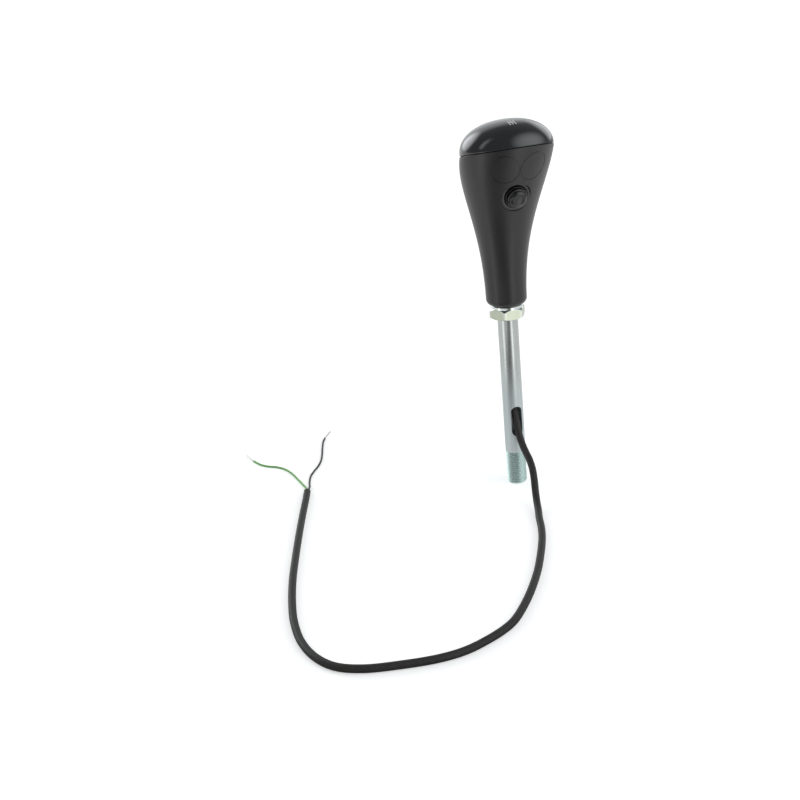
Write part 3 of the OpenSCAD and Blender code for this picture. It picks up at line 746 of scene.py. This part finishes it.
def cable_finish(name, base, roughness, ripple, ridges):
    """Extruded insulation on the piece's own UV map: long die lines, a slow tone
    along the length and faint scuffs."""
    f = Finish(name, Specular_IOR_Level=0.25)
    uv = f.node("ShaderNodeUVMap", {"uv_map": "surface"})
    slow, lines = f.bands(f.axis("Y", uv), 35.0, 3.0), f.bands(f.axis("X", uv), ridges, 2.0)
    scuff, grain = f.noise(500, 4, rough=0.7), f.noise(2400, 2)
    tone = slow * 0.4 + scuff.rise(0.3, 0.7) * 0.6
    f.feed("Base Color", f.shaded(tone, base, 0.66, 1.4))
    f.feed("Roughness", roughness + scuff.rise(0.4, 0.8) * 0.12 + grain * 0.05)
    f.bump(lines * 0.5 + grain * 0.35 + slow * 0.6, ripple, 0.6)
    return f.material


# ---- the lead's route --------------------------------------------------------
def laid(height, *places):
    """Points in millimetres that lie at one height."""
    return [(x, y, height) for x, y in places]


LEAD_LIES, CORE_LIES = 2.1, 0.65
ROUTE = MM * np.array([
    (0, 0, 161), (0, 0, 111.5), (0, 0, 62), (0, -0.2, 56), (0, -1.3, 50), (0, -3.2, 43.5),
    (0, -5.8, 36.6), (0, -8.8, 31.8), (0, -12.6, 28.2), (0, -17.5, 25.2), (0, -23, 22.4),
    (-0.6, -28.5, 18.8), (-1.6, -33, 14), (-2.8, -37, 8.8), (-4.2, -42, 4.6), (-6.2, -49, 2.4),
    *laid(
        LEAD_LIES, (-9, -57), (-13, -70), (-18, -83), (-26, -100), (-35, -117), (-47, -136),
        (-60, -153), (-69, -161), (-81, -167.5), (-95, -172.5), (-110, -173.5), (-128, -171),
        (-144, -167), (-156, -159.5), (-163, -147), (-166, -130), (-165, -110), (-161.5, -90),
        (-156, -67), (-149, -43), (-141, -17), (-133, 8), (-126, 29), (-122.5, 40),
    ),
])
TUBE_STRETCHES = 6  # of the route, as far as the slot
GREEN_ROUTE = MM * np.array([(-121.6, 47, 1.3), *laid(
    CORE_LIES, (-122, 54), (-123.2, 64), (-124.6, 74), (-127, 82), (-131, 88), (-136, 92),
    (-140, 97), (-143, 105),
)])
BLACK_ROUTE = MM * np.array([(-119, 48, 1.3), *laid(
    CORE_LIES, (-117.5, 55), (-114.5, 64), (-110.5, 71), (-106.5, 77), (-103, 84), (-100, 93),
    (-97, 104), (-94, 114), (-91.5, 119.5),
)])
GREEN_TIP = MM * np.array(laid(CORE_LIES, (-144.4, 111), (-145.4, 117)))
BLACK_TIP = MM * np.array(laid(CORE_LIES, (-88.5, 124.5), (-85.3, 129.3)))
INWARD = np.array((0.9990, 0.9990, 1.0))  # keeps the curve's swing inside the CAD's box
UP, RIGHT = np.array((0.0, 0.0, 1.0)), np.array((1.0, 0.0, 0.0))
STEPS = 8  # to each stretch of a route


def core_route(side, points, offset):
    """A core's points: out of the sheath's end face, then along the surface."""
    way = heading(ROUTE)
    across = np.array((-way[1], way[0], 0))
    start = [ROUTE[-1] + side * offset * across + ahead * way for ahead in (0.05 * MM, 2 * MM)]
    return np.concatenate([start, points])


def resting(points, diameter):
    """A smooth route through the points that never dips into the floor."""
    path = smooth(points, STEPS)
    path[:, 2] = path[:, 2].clip(diameter / 2)
    return path


def cable_piece(name, path, diameter, reference, material, nodes, columns):
    """A round cable along a path, with a UV map that follows it."""
    rings = carried(path, reference, turns(columns), diameter / 2)
    piece = add_rings(name, rings, along=path_places(path))
    return finish_piece(piece, material, "lever", nodes, sharp=50)


def strand_piece(name, route, tip, diameter, material, node):
    """Six tinned strands laid in a twist, as one ring with six lobes that turns
    along the tip and closes to a point of cut ends."""
    strands, lay, lead_in = 6, 9 * MM, 1.5 * MM
    path = smooth([route[-1], route[-1] + lead_in * heading(route), *tip], 24)
    along, around = path_places(path), turns(48)
    phase = around[None] * strands + along[:, None] * (2 * np.pi * strands / lay)
    radius = diameter / 2 * (0.80 + 0.20 * np.abs(np.cos(phase / 2)))
    piece = add_rings(name, carried(path, UP, around, radius), along=along)
    return finish_piece(piece, material, "lever", [node], sharp=60)


def paint(node, material):
    """Gives a CAD node a finish in its own material slots."""
    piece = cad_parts[node]
    if not piece.material_slots:
        piece.data.materials.append(material)
    for slot in piece.material_slots:
        slot.material = material


# ---- operators ---------------------------------------------------------------
SIDES = (-1, 1)
AXIS = 0.0001 * MM  # stands in for a radius of 0
REACH = 12 * MM  # of a cutter out past the skin
PLAY = 0.3 * MM  # round the cap's rim and hooks
HOOK_SPACE = 0.9 * MM  # grip's wall to a hook's face
HOOK_PLACE = 0.35  # a hook's middle behind the parting plane's, as a share of its depth
ROUND_STEPS = 176  # round the grip and the cap


class KnobStep:
    """What the operators share: the scene's sizes and colours, and the two frames
    that the pieces are set out from."""

    bl_options = {"REGISTER", "UNDO"}

    def read(self, context):
        """Takes the sizes and colours from the scene."""
        scene = context.scene
        self.grip, self.switch = scene.knob_grip, scene.knob_switch
        self.lever, self.colours = scene.knob_lever, scene.knob_colours
        self.skin = Skin(self.grip)
        self.button = button_frame(self.skin, self.switch)
        self.hook_face = self.skin.width - self.grip.wall - HOOK_SPACE

    def on_button(self, profile, count):
        """A profile turned round the button's axis."""
        return placed(turned(profile, turns(count)), self.button)


class KNOB_OT_camera(KnobStep, bpy.types.Operator):
    """Sets the camera"""

    bl_idname = "knob.set_camera"
    bl_label = "Set the camera"

    def execute(self, context):
        s = context.scene.knob_stage
        right = np.array((math.cos(s.azimuth), math.sin(s.azimuth), 0))
        level = math.cos(s.elevation)
        back = np.array((right[1] * level, -right[0] * level, math.sin(s.elevation)))
        up = np.cross(back, right)
        c, n = math.cos(s.roll), math.sin(s.roll)
        place = right * s.aside + np.array((0, 0, s.above)) + back * s.distance
        matrix = Matrix.Identity(4)
        for i, axis in enumerate((c * right + n * up, c * up - n * right, back, place)):
            matrix[0][i], matrix[1][i], matrix[2][i] = axis
        data = bpy.data.cameras.new("camera")
        data.lens, data.sensor_width, data.sensor_fit = s.lens, s.sensor, "HORIZONTAL"
        camera = add_piece("camera", data)
        camera.matrix_world = matrix
        bpy.context.scene.camera = camera
        return {"FINISHED"}


class KNOB_OT_lead(KnobStep, bpy.types.Operator):
    """Lays the lead: its sheath, its two cores and their bare ends"""

    bl_idname = "knob.lay_lead"
    bl_label = "Lay the lead"

    def execute(self, context):
        self.read(context)
        lever, colours = self.lever, self.colours
        sheath = cable_finish("lead_sheath_rubber", colours.sheath, 0.50, 0.00006, 9.0)
        path, split = resting(ROUTE * INWARD, lever.lead_diameter), TUBE_STRETCHES * STEPS
        cable_piece(
            "lead_in_lever", path[: split + 1], lever.lead_diameter, RIGHT,
            sheath, ["lead_in_tube"], 28,
        )
        free = path[split:]
        lead = cable_piece(
            "lead_cable", free, lever.lead_diameter, UP, sheath, ["lead_sheath"], 32
        )
        tinned = metal_finish("tinned_strands", colours.tinned, 0.22)
        offset = lever.core_diameter / 2 + 0.25 * MM
        for name, side, points, tip, base in (
            ("green", 1, GREEN_ROUTE, GREEN_TIP, colours.green),
            ("black", -1, BLACK_ROUTE, BLACK_TIP, colours.black),
        ):
            insulation = cable_finish(f"core_{name}_insulation", base, 0.38, 0.00003, 5.0)
            points = core_route(side, points, offset)
            route = resting(points, lever.core_diameter)
            core = cable_piece(
                f"core_{name}", route, lever.core_diameter, UP, insulation,
                [f"wire_{name}"], 20,
            )
            strands = strand_piece(
                f"strands_{name}", points, tip, lever.strand_diameter, tinned, f"wire_tip_{name}"
            )
            inner = f"core_{name}_inner"
            paint(inner, moulding_finish(f"{inner}_insulation", base, 0.38, 2000))
        return {"FINISHED"}


class KNOB_OT_grip(KnobStep, bpy.types.Operator):
    """Makes the grip's hollow moulding"""

    bl_idname = "knob.make_grip"
    bl_label = "Make the grip"

    def execute(self, context):
        self.read(context)
        grip = add_rings("grip_moulding", self.shell(turns(ROUND_STEPS)), loop=True)
        self.add_switch_boss(grip)
        self.cut_switch_pocket(grip)
        self.cut_rim_seat(grip)
        for side in SIDES:
            self.cut_blank_line(grip, side)
        finish_piece(grip, grip_finish(self.colours), "lever", ["grip_body"], sharp=28)
        return {"FINISHED"}

    def shell(self, around):
        """One closed profile of rings: foot, round edge, skin, parting face, hollow,
        its floor, the tube's hole and the bush's pocket."""
        g, skin, hole, bush = self.grip, self.skin, self.lever.hole_radius, self.grip.bush_radius
        rib, lip, least_land = 1 * MM, 0.15 * MM, 0.4 * MM
        edge = min(g.foot_round, g.neck_half_width - bush - least_land)
        swing = np.linspace(0, np.pi / 2, 9)[:-1]
        height, inset = edge * (1 - np.cos(swing)), edge * (1 - np.sin(swing))
        outer_t = np.linspace(skin.t_at(edge), skin.t_at(g.grip_height - lip), 120)
        inner_t = np.linspace(1, skin.t_at(g.floor_height), 30)
        third, neck = g.bush_length / 3, bush - rib
        pocket = [
            (hole, g.floor_height), (hole, g.bush_length), (bush, g.bush_length), (bush, 2 * third),
            (neck, 2 * third - rib), (neck, third + rib), (bush, third), (bush, 0),
        ]
        r, z = np.array(pocket).T
        return np.concatenate([
            skin.rings(skin.t_at(height), inset, around),
            skin.rings(outer_t, 0, around),
            skin.parting([lip * 0.7], 0, around),
            skin.parting([g.wall], 0, around),
            skin.rings(inner_t[1:], g.wall, around),
            ellipses(0, skin.foot + z, r, r, 0, 0, around),
        ])

    def add_switch_boss(self, grip):
        """The flat seat for the washer: a cylinder trimmed to just under the skin."""
        s, skin, under = self.switch, self.skin, 0.6 * MM
        radius = s.washer_diameter / 2 + 1.2 * MM
        profile = [(AXIS, -s.seat), (radius, -s.seat), (radius, REACH), (AXIS, REACH)]
        boss = add_rings("boss", self.on_button(profile, 96))
        t = np.linspace(skin.t_at(self.grip.floor_height), 1, 60)
        trim(boss, skin.rings(t, under, turns(120)), "INTERSECT")
        trim(grip, boss, "UNION")

    def cut_switch_pocket(self, grip):
        """A stepped bore for the bezel, the barrel and the washer."""
        s, gap, snug, depth = self.switch, self.grip.run_gap, 0.06 * MM, 9 * MM
        bezel, barrel = s.bezel_diameter / 2 + snug, s.barrel_diameter / 2 + gap
        washer, low = s.washer_diameter / 2 + 1 * MM, -s.seat - depth
        profile = [
            (AXIS, low), (washer, low), (washer, -s.seat), (barrel, -s.seat),
            (barrel, -s.flange), (bezel, -s.flange), (bezel, REACH), (AXIS, REACH),
        ]
        trim(grip, self.on_button(profile, 128))

    def cut_rim_seat(self, grip):
        """Room for the cap's rim, and pockets for its two hooks."""
        g, skin, past, over, tall = self.grip, self.skin, 1 * MM, 2 * MM, 2.5 * MM
        lifts = np.array([-g.rim_depth - PLAY, over])
        trim(grip, skin.parting([g.wall + PLAY] * 2, lifts, turns(120)))
        back, half = HOOK_PLACE * g.hook_length, g.hook_width / 2 + PLAY
        for side in SIDES:
            near, far = self.hook_face - past, self.hook_face + g.hook_catch + PLAY
            near, far = sorted((side * near, side * far))
            low = (near, back - half, -g.hook_length - PLAY)
            high = (far, back + half, -g.hook_length + tall)
            trim(grip, placed(block(low, high), skin.parting_frame()), flat_ends=True)

    def cut_blank_line(self, grip, side):
        """A witness line of even depth: a thin ring less the skin drawn in."""
        g, skin, reach, past = self.grip, self.skin, 5 * MM, 3 * MM
        height, outer = g.grip_height - g.blank_drop, g.blank_diameter / 2
        inner = outer - g.blank_line
        turn = math.asin((outer + g.blank_space) / cubic(skin.a, skin.t_at(height)))
        spot = Matrix.Translation(skin.point_at(height, side * turn))
        facing = spot @ Matrix.Rotation(side * turn, 4, "Z") @ Matrix.Rotation(math.pi / 2, 4, "X")
        profile = [(inner, -reach), (outer, -reach), (outer, reach), (inner, reach)]
        line = add_rings("line", placed(turned(profile, turns(144)), facing), loop=True)
        t, around = np.linspace(0.4, 1, 90), turns(220)
        core = [skin.rings(t, g.blank_depth, around), skin.parting([g.blank_depth], past, around)]
        trim(line, np.concatenate(core))
        trim(grip, line)


class KNOB_OT_cap(KnobStep, bpy.types.Operator):
    """Makes the polished cap with its rim and snap hooks"""

    bl_idname = "knob.make_cap"
    bl_label = "Make the cap"

    def execute(self, context):
        self.read(context)
        g, skin, around, edge = self.grip, self.skin, turns(ROUND_STEPS), 0.25 * MM
        height, fullness, start = g.cap_height, g.cap_fullness, g.groove + edge
        swing = np.linspace(0, np.pi / 2, 5)[1:]
        top_turn = np.radians(np.linspace(89.6, 0, 60))
        roof_turn, roof_knee = np.radians(np.linspace(0, 88, 24)), math.radians(42)
        rim_out, rim_in = g.wall + PLAY + g.run_gap, g.wall + PLAY + g.rim_wall
        roof_inset = np.interp(roof_turn, (0, roof_knee), (rim_in, g.cap_wall))
        cap = add_rings("cap_dome", np.concatenate([
            skin.dome(top_turn, 0, start, height, fullness, around),
            skin.parting(edge * (1 - np.cos(swing)), start - edge * np.sin(swing), around),
            skin.parting([1.5 * g.groove] * 2, np.array([g.groove, 0]), around),
            skin.parting([rim_out, rim_out], np.array([0, -g.rim_depth + PLAY]), around),
            skin.parting([rim_out + PLAY, rim_in], -g.rim_depth, around),
            skin.dome(roof_turn, roof_inset, g.cap_wall / 2, height, fullness, around),
        ]))
        for side in SIDES:
            trim(cap, self.hook(side), "UNION", flat_ends=True)
        finish_piece(cap, cap_finish(self.colours, skin), "lever", ["top_cap"], sharp=40)
        return {"FINISHED"}

    def hook(self, side):
        """A hook's outline carried across its width."""
        g, thick, ramp, catch = self.grip, 1.6 * MM, 1.6 * MM, 2.4 * MM
        low, top, out = -g.hook_length, 0.8 * g.cap_wall, g.hook_catch
        outline = [
            (-thick, low), (0, low), (out, low + ramp), (out, low + catch), (0, low + catch),
            (0, top), (-thick, top),
        ]
        ends = HOOK_PLACE * g.hook_length + g.hook_width / 2 * np.array((-1, 1))
        rings = [[(side * (self.hook_face + x), y, z) for x, z in outline] for y in ends]
        return placed(np.array(rings), self.skin.parting_frame())


class KNOB_OT_tube(KnobStep, bpy.types.Operator):
    """Makes the lever's tube with its thread and slot"""

    bl_idname = "knob.make_tube"
    bl_label = "Make the tube"

    def execute(self, context):
        self.read(context)
        tube = add_rings("threaded_tube", self.wall(turns(112)), loop=True)
        trim(tube, self.slot_tool(), flat_ends=True)
        zinc = tube_finish(self.colours, self.lever)
        finish_piece(tube, zinc, "lever", ["lever_tube"], sharp=40)
        return {"FINISHED"}

    def wall(self, around):
        """Outside with a helical V groove at the lower end, then the bore. The groove
        is a triangle wave of z / pitch - turn, faded in and out at its ends."""
        lever, outer, top = self.lever, TUBE_HIGH.x, TUBE_HIGH.z
        thread_top, pitch = lever.thread_length + lever.thread_runout, lever.thread_pitch
        blend, bevel, past = 0.15 * MM, 0.3 * MM, 0.5 * MM
        z = np.concatenate([
            np.arange(0, thread_top, pitch / 10),
            np.linspace(thread_top + past, top - lever.chamfer, 40),
            [top - lever.chamfer / 2, top],
        ])[:, None]
        wave = np.abs(2 * ((z / pitch - around / (2 * np.pi)) % 1) - 1)
        groove = np.clip((1 - wave) * 1.16 - 0.08, 0, 1)
        fade_in = np.clip(z / (0.6 * pitch), 0.35, 1)
        fade_out = np.clip((thread_top - z) / lever.thread_runout, 0, 1)
        plain = np.clip((z - lever.thread_length) / lever.thread_runout, 0, 1)
        r = outer - lever.thread_under * (1 - plain)
        r = r - lever.thread_depth * groove * fade_in * fade_out
        for from_end in (z, top - z):
            r = smaller(r, outer - lever.chamfer + from_end, blend)
        bore = [(lever.bore + bevel, top), (lever.bore, top - bevel)]
        bore += [(lever.bore, h) for h in np.linspace(top - 1 * MM, 1 * MM, 24)]
        bore += [(lever.bore, bevel), (lever.bore + bevel, 0)]
        return np.concatenate([polar(r, around, z), turned(bore, around)])

    def slot_tool(self):
        """A slot with round ends, to be carried through the tube's front wall."""
        lever, start = self.lever, 0.4 * MM
        r, swing = lever.slot_width / 2, np.linspace(0, np.pi, 33)
        low, high = lever.slot_low + r, lever.slot_low + lever.slot_length - r
        x = np.concatenate([r * np.cos(swing), -r * np.cos(swing)])
        z = np.concatenate([high + r * np.sin(swing), low - r * np.sin(swing)])
        depth = -np.array((start, 2 * TUBE_HIGH.x))[:, None]
        return np.stack(np.broadcast_arrays(x, depth, z), -1)


class KNOB_OT_nut(KnobStep, bpy.types.Operator):
    """Makes the jam nut"""

    bl_idname = "knob.make_nut"
    bl_label = "Make the jam nut"

    def execute(self, context):
        self.read(context)
        lever, low, high, sixth = self.lever, NUT_LOW.z, NUT_HIGH.z, math.pi / 3
        half, drop = lever.nut_flats / 2, lever.nut_collar + lever.nut_bevel
        corner, collar = half / math.cos(sixth / 2), half - 0.05 * MM
        lip, inset, sink = 0.3 * MM, 0.5 * MM, 0.6 * MM
        side = np.linspace(-1, 1, 41)[:-1]
        aside = np.sign(side) * (sixth / 2) * (1 - (1 - np.abs(side)) ** 1.6)
        around = (aside[None] + np.arange(6)[:, None] * sixth).ravel() + lever.nut_turn
        aside = np.tile(np.abs(aside), 6)
        z = np.linspace(low, high, 96)[:, None]
        flats = smaller(half / np.cos(aside), half / np.cos(sixth - aside), 0.12 * MM)
        depths = [0, lip, lever.nut_collar, drop, drop + lever.nut_bevel]
        widths = [collar - lip, collar, collar, corner, 2 * corner - collar]
        lower = half - inset + (corner - half + inset) * (z - low) / lever.nut_foot
        r = smaller(flats, np.interp(high - z, depths, widths), 0.08 * MM)
        r = smaller(r, lower, 0.10 * MM)
        hole, wide = lever.hole_radius, lever.hole_radius + sink
        inside = [(wide, high), (hole, high - sink), (hole, low + sink), (wide, low)]
        rings = np.concatenate([polar(r, around, z), turned(inside, around)])
        nut, zinc = add_rings("hex_nut", rings, loop=True), nut_finish(self.colours, lever)
        finish_piece(nut, zinc, "lever", ["jam_nut"], sharp=24)
        return {"FINISHED"}


class KNOB_OT_switch(KnobStep, bpy.types.Operator):
    """Makes the switch's bezel, button and spring"""

    bl_idname = "knob.make_switch"
    bl_label = "Make the switch"

    def execute(self, context):
        self.read(context)
        self.make_housing()
        self.make_button()
        self.make_spring()
        return {"FINISHED"}

    def make_housing(self):
        """Bezel, barrel and inner shelf as one turned outline."""
        s, guide, mouth = self.switch, 2.08 * MM, 0.1 * MM
        bezel, barrel, bore = s.bezel_diameter / 2, s.barrel_diameter / 2, s.bore_diameter / 2
        outline = [
            (barrel, -s.barrel_end, 0), (barrel, -s.flange, 0), (bezel, -s.flange, 0),
            (bezel, 0, 0.55 * MM), (bore + mouth, 0, 0.35 * MM), (bore, -1.2 * MM, 0.2 * MM),
            (bore, -s.shelf_top, 0), (guide, -s.shelf_top, 0), (guide, -s.shelf_low, 0),
            (bore, -s.shelf_low, 0), (bore, -s.barrel_end, 0),
        ]
        housing = add_rings("switch_bezel", self.on_button(rounded(outline), 128), loop=True)
        material = moulding_finish("bezel_moulding", self.colours.switch, 0.24, 1800)
        finish_piece(housing, material, "lever", ["switch_housing"], sharp=40)

    def make_button(self):
        """Button: dished face, stepped round head, shoulder and skirt as one outline."""
        s, stud, step, dish, wall = self.switch, 1.5 * MM, 0.8 * MM, 0.4 * MM, 1.3 * MM
        skirt, head, out = s.skirt_diameter / 2, s.head_diameter / 2, s.head_out
        nub, neck, low, roof = head - step, 0.88 * head, -5.6 * MM, -0.5 * MM
        face, top, middle = 0.72 * nub, out - 3 * MM, out - dish
        outline = [(face * f, middle + dish * f * f, 0) for f in np.linspace(0.02, 0.9, 10)]
        outline += [
            (face, out, 0.6 * MM), (nub, out - 0.9 * MM, 0.9 * MM), (nub, 2.9 * MM, 0.2 * MM),
            (head, 2.6 * MM, 0.6 * MM), (head, 1.4 * MM, 0.2 * MM), (neck, 1.35 * MM, 0.1 * MM),
            (neck, 0.75 * MM, 0.15 * MM), (skirt, 1 * MM, 0.3 * MM), (skirt, low, 0.1 * MM),
            (skirt - wall, low, 0.1 * MM), (skirt - wall, roof, 0), (stud, roof, 0),
            (stud, top, 0), (0.02 * MM, top, 0),
        ]
        button = add_rings("button_head", self.on_button(rounded(outline, 9), 128))
        material = moulding_finish("button_moulding", self.colours.button, 0.14, 1500)
        finish_piece(button, material, "button", ["button_cap"], sharp=50)

    def make_spring(self):
        """Round wire along a helix whose end turns close up."""
        s, wire, radius, count, close = self.switch, 0.6 * MM, 3.5 * MM, 5, 0.65 * MM
        roof, play = 0.5 * MM, 0.02 * MM
        low, high = -s.shelf_top + wire / 2 + play, -roof - wire / 2 - play
        turn = np.linspace(0, count, count * 28 + 1)
        share = np.clip((turn - 1) / (count - 2), 0, 1)
        ends = close * (np.minimum(turn, 1) + np.maximum(turn - count + 1, 0))
        swing, z = 2 * np.pi * turn, low + (high - low - 2 * close) * share + ends
        rings = carried(polar(radius, swing, z), UP, turns(12), wire / 2)
        spring = add_rings("spring_coil", placed(rings, self.button))
        material = metal_finish("spring_wire", self.colours.steel, 0.25)
        finish_piece(spring, material, "lever", ["return_spring"], sharp=50)
        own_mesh(spring)


class KNOB_OT_inner(KnobStep, bpy.types.Operator):
    """Gives the pieces inside the grip their finishes"""

    bl_idname = "knob.finish_inner_pieces"
    bl_label = "Finish the inner pieces"

    def execute(self, context):
        self.read(context)
        c = self.colours
        brass = metal_finish("rolled_brass", c.brass, 0.28)
        plated = metal_finish("plated_steel", c.steel, 0.26)
        nylon = moulding_finish("natural_nylon", c.nylon, 0.38, 1600)
        phenolic = moulding_finish("moulded_base", c.phenolic, 0.42, 1200)
        for material, nodes in (
            (brass, "threaded_bush terminal_left terminal_right contact_bridge"),
            (plated, "switch_washer switch_ring_nut receptacle_left receptacle_right plunger_clip"),
            (nylon, "lead_tie plunger"),
            (phenolic, "switch_base"),
        ):
            for node in nodes.split():
                paint(node, material)
        return {"FINISHED"}


# where each round light starts and is full: the cosine of the angle from its middle
SPREADS = {"key": (0.62, 1.05), "rim": (0.88, 0.99), "side": (0.90, 0.985), "back": (0.80, 0.97)}


class KNOB_OT_stage(KnobStep, bpy.types.Operator):
    """Sets the floor and the surrounding light"""

    bl_idname = "knob.light_stage"
    bl_label = "Light the stage"

    def execute(self, context):
        stage = context.scene.knob_stage
        context.scene.view_settings.view_transform = "Standard"
        self.lay_floor(stage)
        self.light_world(context.scene, stage)
        return {"FINISHED"}

    def lay_floor(self, stage):
        """A round pale floor. The camera sees it lifted to white under its shadows.
        Gloss sees a painted glow instead: white, dimmer far to the right, with a slanting
        painted dark flag before the lever and a painted lit card on each side of it."""
        hole, bend, mottle = 0.001 * MM, 0.6, 0.03
        rings = turned([(hole, 0), (bend, 0), (stage.floor_radius, 0)], turns(96))
        mesh = bpy.data.meshes.new("floor")
        mesh.from_pydata(rings.reshape(-1, 3).tolist(), [], grid_faces(3, 96, False).tolist())
        floor = add_piece("floor", mesh)
        f = Finish("pale_floor", Roughness=0.9, Specular_IOR_Level=0.0, Emission_Strength=1.0)
        black, white, pale = (0.0,) * 3, (1.0,) * 3, stage.floor_tone
        f.feed("Base Color", f.mix(f.noise(6, 2), (pale,) * 3, (pale + mottle,) * 3))
        seen = f.node("ShaderNodeLightPath", output="Is Camera Ray")
        f.feed("Emission Color", f.mix(seen * stage.floor_lift, black, white))
        x, y, reach = f.axis("X"), f.axis("Y"), f.radius() + 0.001
        slant, darkness, dimness, brightest = 0.3, 0.84, 0.6, 3.0
        flag_sides, flag_start, far = (0.04, 0.12), (0.02, 0.10), (0.4, 1.5)
        card_inside, card_outside, card_start = (0.50, 0.66), (0.70, 0.82), (0.15, 0.2)
        # painted reflection: the dark flag and the lit cards exist only in the floor's glow for
        # gloss rays
        off = abs(x + y * slant - stage.flag_aside)
        flag = (1 - off.rise(*flag_sides)) * (-y).rise(*flag_start)
        toward = (x * math.sin(stage.card_side) - y * math.cos(stage.card_side)) / reach
        cards = toward.rise(*card_inside) * (1 - toward.rise(*card_outside))
        cards = cards * reach.rise(*card_start)
        plain = stage.gloss_level * (1 - flag * darkness) * (1 - x.rise(*far) * dimness)
        level = plain + cards * stage.card_level
        glow = f.mix(level / brightest, black, (brightest,) * 3)
        reflected = f.node("ShaderNodeEmission", inputs={"Color": glow, "Strength": 1.0})
        mirrored = f.node("ShaderNodeLightPath", output="Is Glossy Ray")
        both = f.node("ShaderNodeMixShader", inputs={0: mirrored, 1: f.surface, 2: reflected})
        f.outlet("ShaderNodeOutputMaterial", both)
        mesh.materials.append(f.material)

    def light_world(self, scene, stage):
        """White to the camera. To everything else an even dim sky, a little cooler,
        with four soft round lights, each a soft rise of the dot product with its
        direction, and an upright strip at the left, set out by its distance from an
        upright plane."""
        scene.world = bpy.data.worlds.new("surround")
        w = Network(scene.world, "Generated")
        light = stage.sky
        for name, spread in SPREADS.items():
            place, power = getattr(stage, f"{name}_place"), getattr(stage, f"{name}_power")
            toward = w.node(
                "ShaderNodeVectorMath", {"operation": "DOT_PRODUCT"},
                {0: w.place, 1: tuple(place)}, output="Value",
            )
            light = toward.swell(*spread) * power + light
        x, y, z, side = w.axis("X"), w.axis("Y"), w.axis("Z"), stage.strip_side
        edges, leftward, lower, upper = (0.01, 0.16), (0.1, 0.3), (0.18, 0.36), (0.7, 0.9)
        off = abs(x * math.cos(side) + y * math.sin(side))
        strip = (1 - off.rise(*edges)) * (-x).rise(*leftward)
        strip = strip * z.rise(*lower) * (1 - z.rise(*upper))
        light = strip * stage.strip_power + light
        seen = w.node("ShaderNodeLightPath", output="Is Camera Ray")
        tint = w.mix(seen, (0.95, 0.985, 1.0), (1.0, 1.0, 1.0))
        level = seen + (1 - seen) * light
        sky = w.node("ShaderNodeBackground", inputs={"Color": tint, "Strength": level})
        w.outlet("ShaderNodeOutputWorld", sky)


class KNOB_PT_panel(bpy.types.Panel):
    """Lists the sizes, the colours and the operators"""

    bl_idname = "KNOB_PT_panel"
    bl_label = "Lever knob"
    bl_space_type = "VIEW_3D"
    bl_region_type = "UI"
    bl_category = "Lever knob"

    def draw(self, context):
        scene = context.scene
        for operator in OPERATORS:
            self.layout.operator(operator.bl_idname)
        for name in GROUPS:
            group = getattr(scene, name)
            box = self.layout.box()
            box.label(text=name.replace("_", " ").capitalize())
            for key in group.bl_rna.properties.keys():
                if key not in ("rna_type", "name"):
                    box.prop(group, key)


GROUPS = {
    "knob_grip": KNOB_GripForm,
    "knob_switch": KNOB_SwitchForm,
    "knob_lever": KNOB_LeverForm,
    "knob_colours": KNOB_Colours,
    "knob_stage": KNOB_StageForm,
}
OPERATORS = (
    KNOB_OT_camera, KNOB_OT_lead, KNOB_OT_grip, KNOB_OT_cap, KNOB_OT_tube,
    KNOB_OT_nut, KNOB_OT_switch, KNOB_OT_inner, KNOB_OT_stage,
)
CLASSES = (*GROUPS.values(), *OPERATORS, KNOB_PT_panel)


def register():
    """Registers the classes and hangs the sizes on the scene."""
    for item in CLASSES:
        bpy.utils.register_class(item)
    for name, group in GROUPS.items():
        setattr(bpy.types.Scene, name, PointerProperty(type=group))


def unregister():
    """Takes back what register did."""
    for name in GROUPS:
        delattr(bpy.types.Scene, name)
    for item in reversed(CLASSES):
        bpy.utils.unregister_class(item)


def main():
    register()
    bpy.ops.knob.set_camera()
    bpy.ops.knob.lay_lead()
    bpy.ops.knob.make_grip()
    bpy.ops.knob.make_cap()
    bpy.ops.knob.make_tube()
    bpy.ops.knob.make_nut()
    bpy.ops.knob.make_switch()
    bpy.ops.knob.finish_inner_pieces()
    bpy.ops.knob.light_stage()


if __name__ == "__main__":
    main()
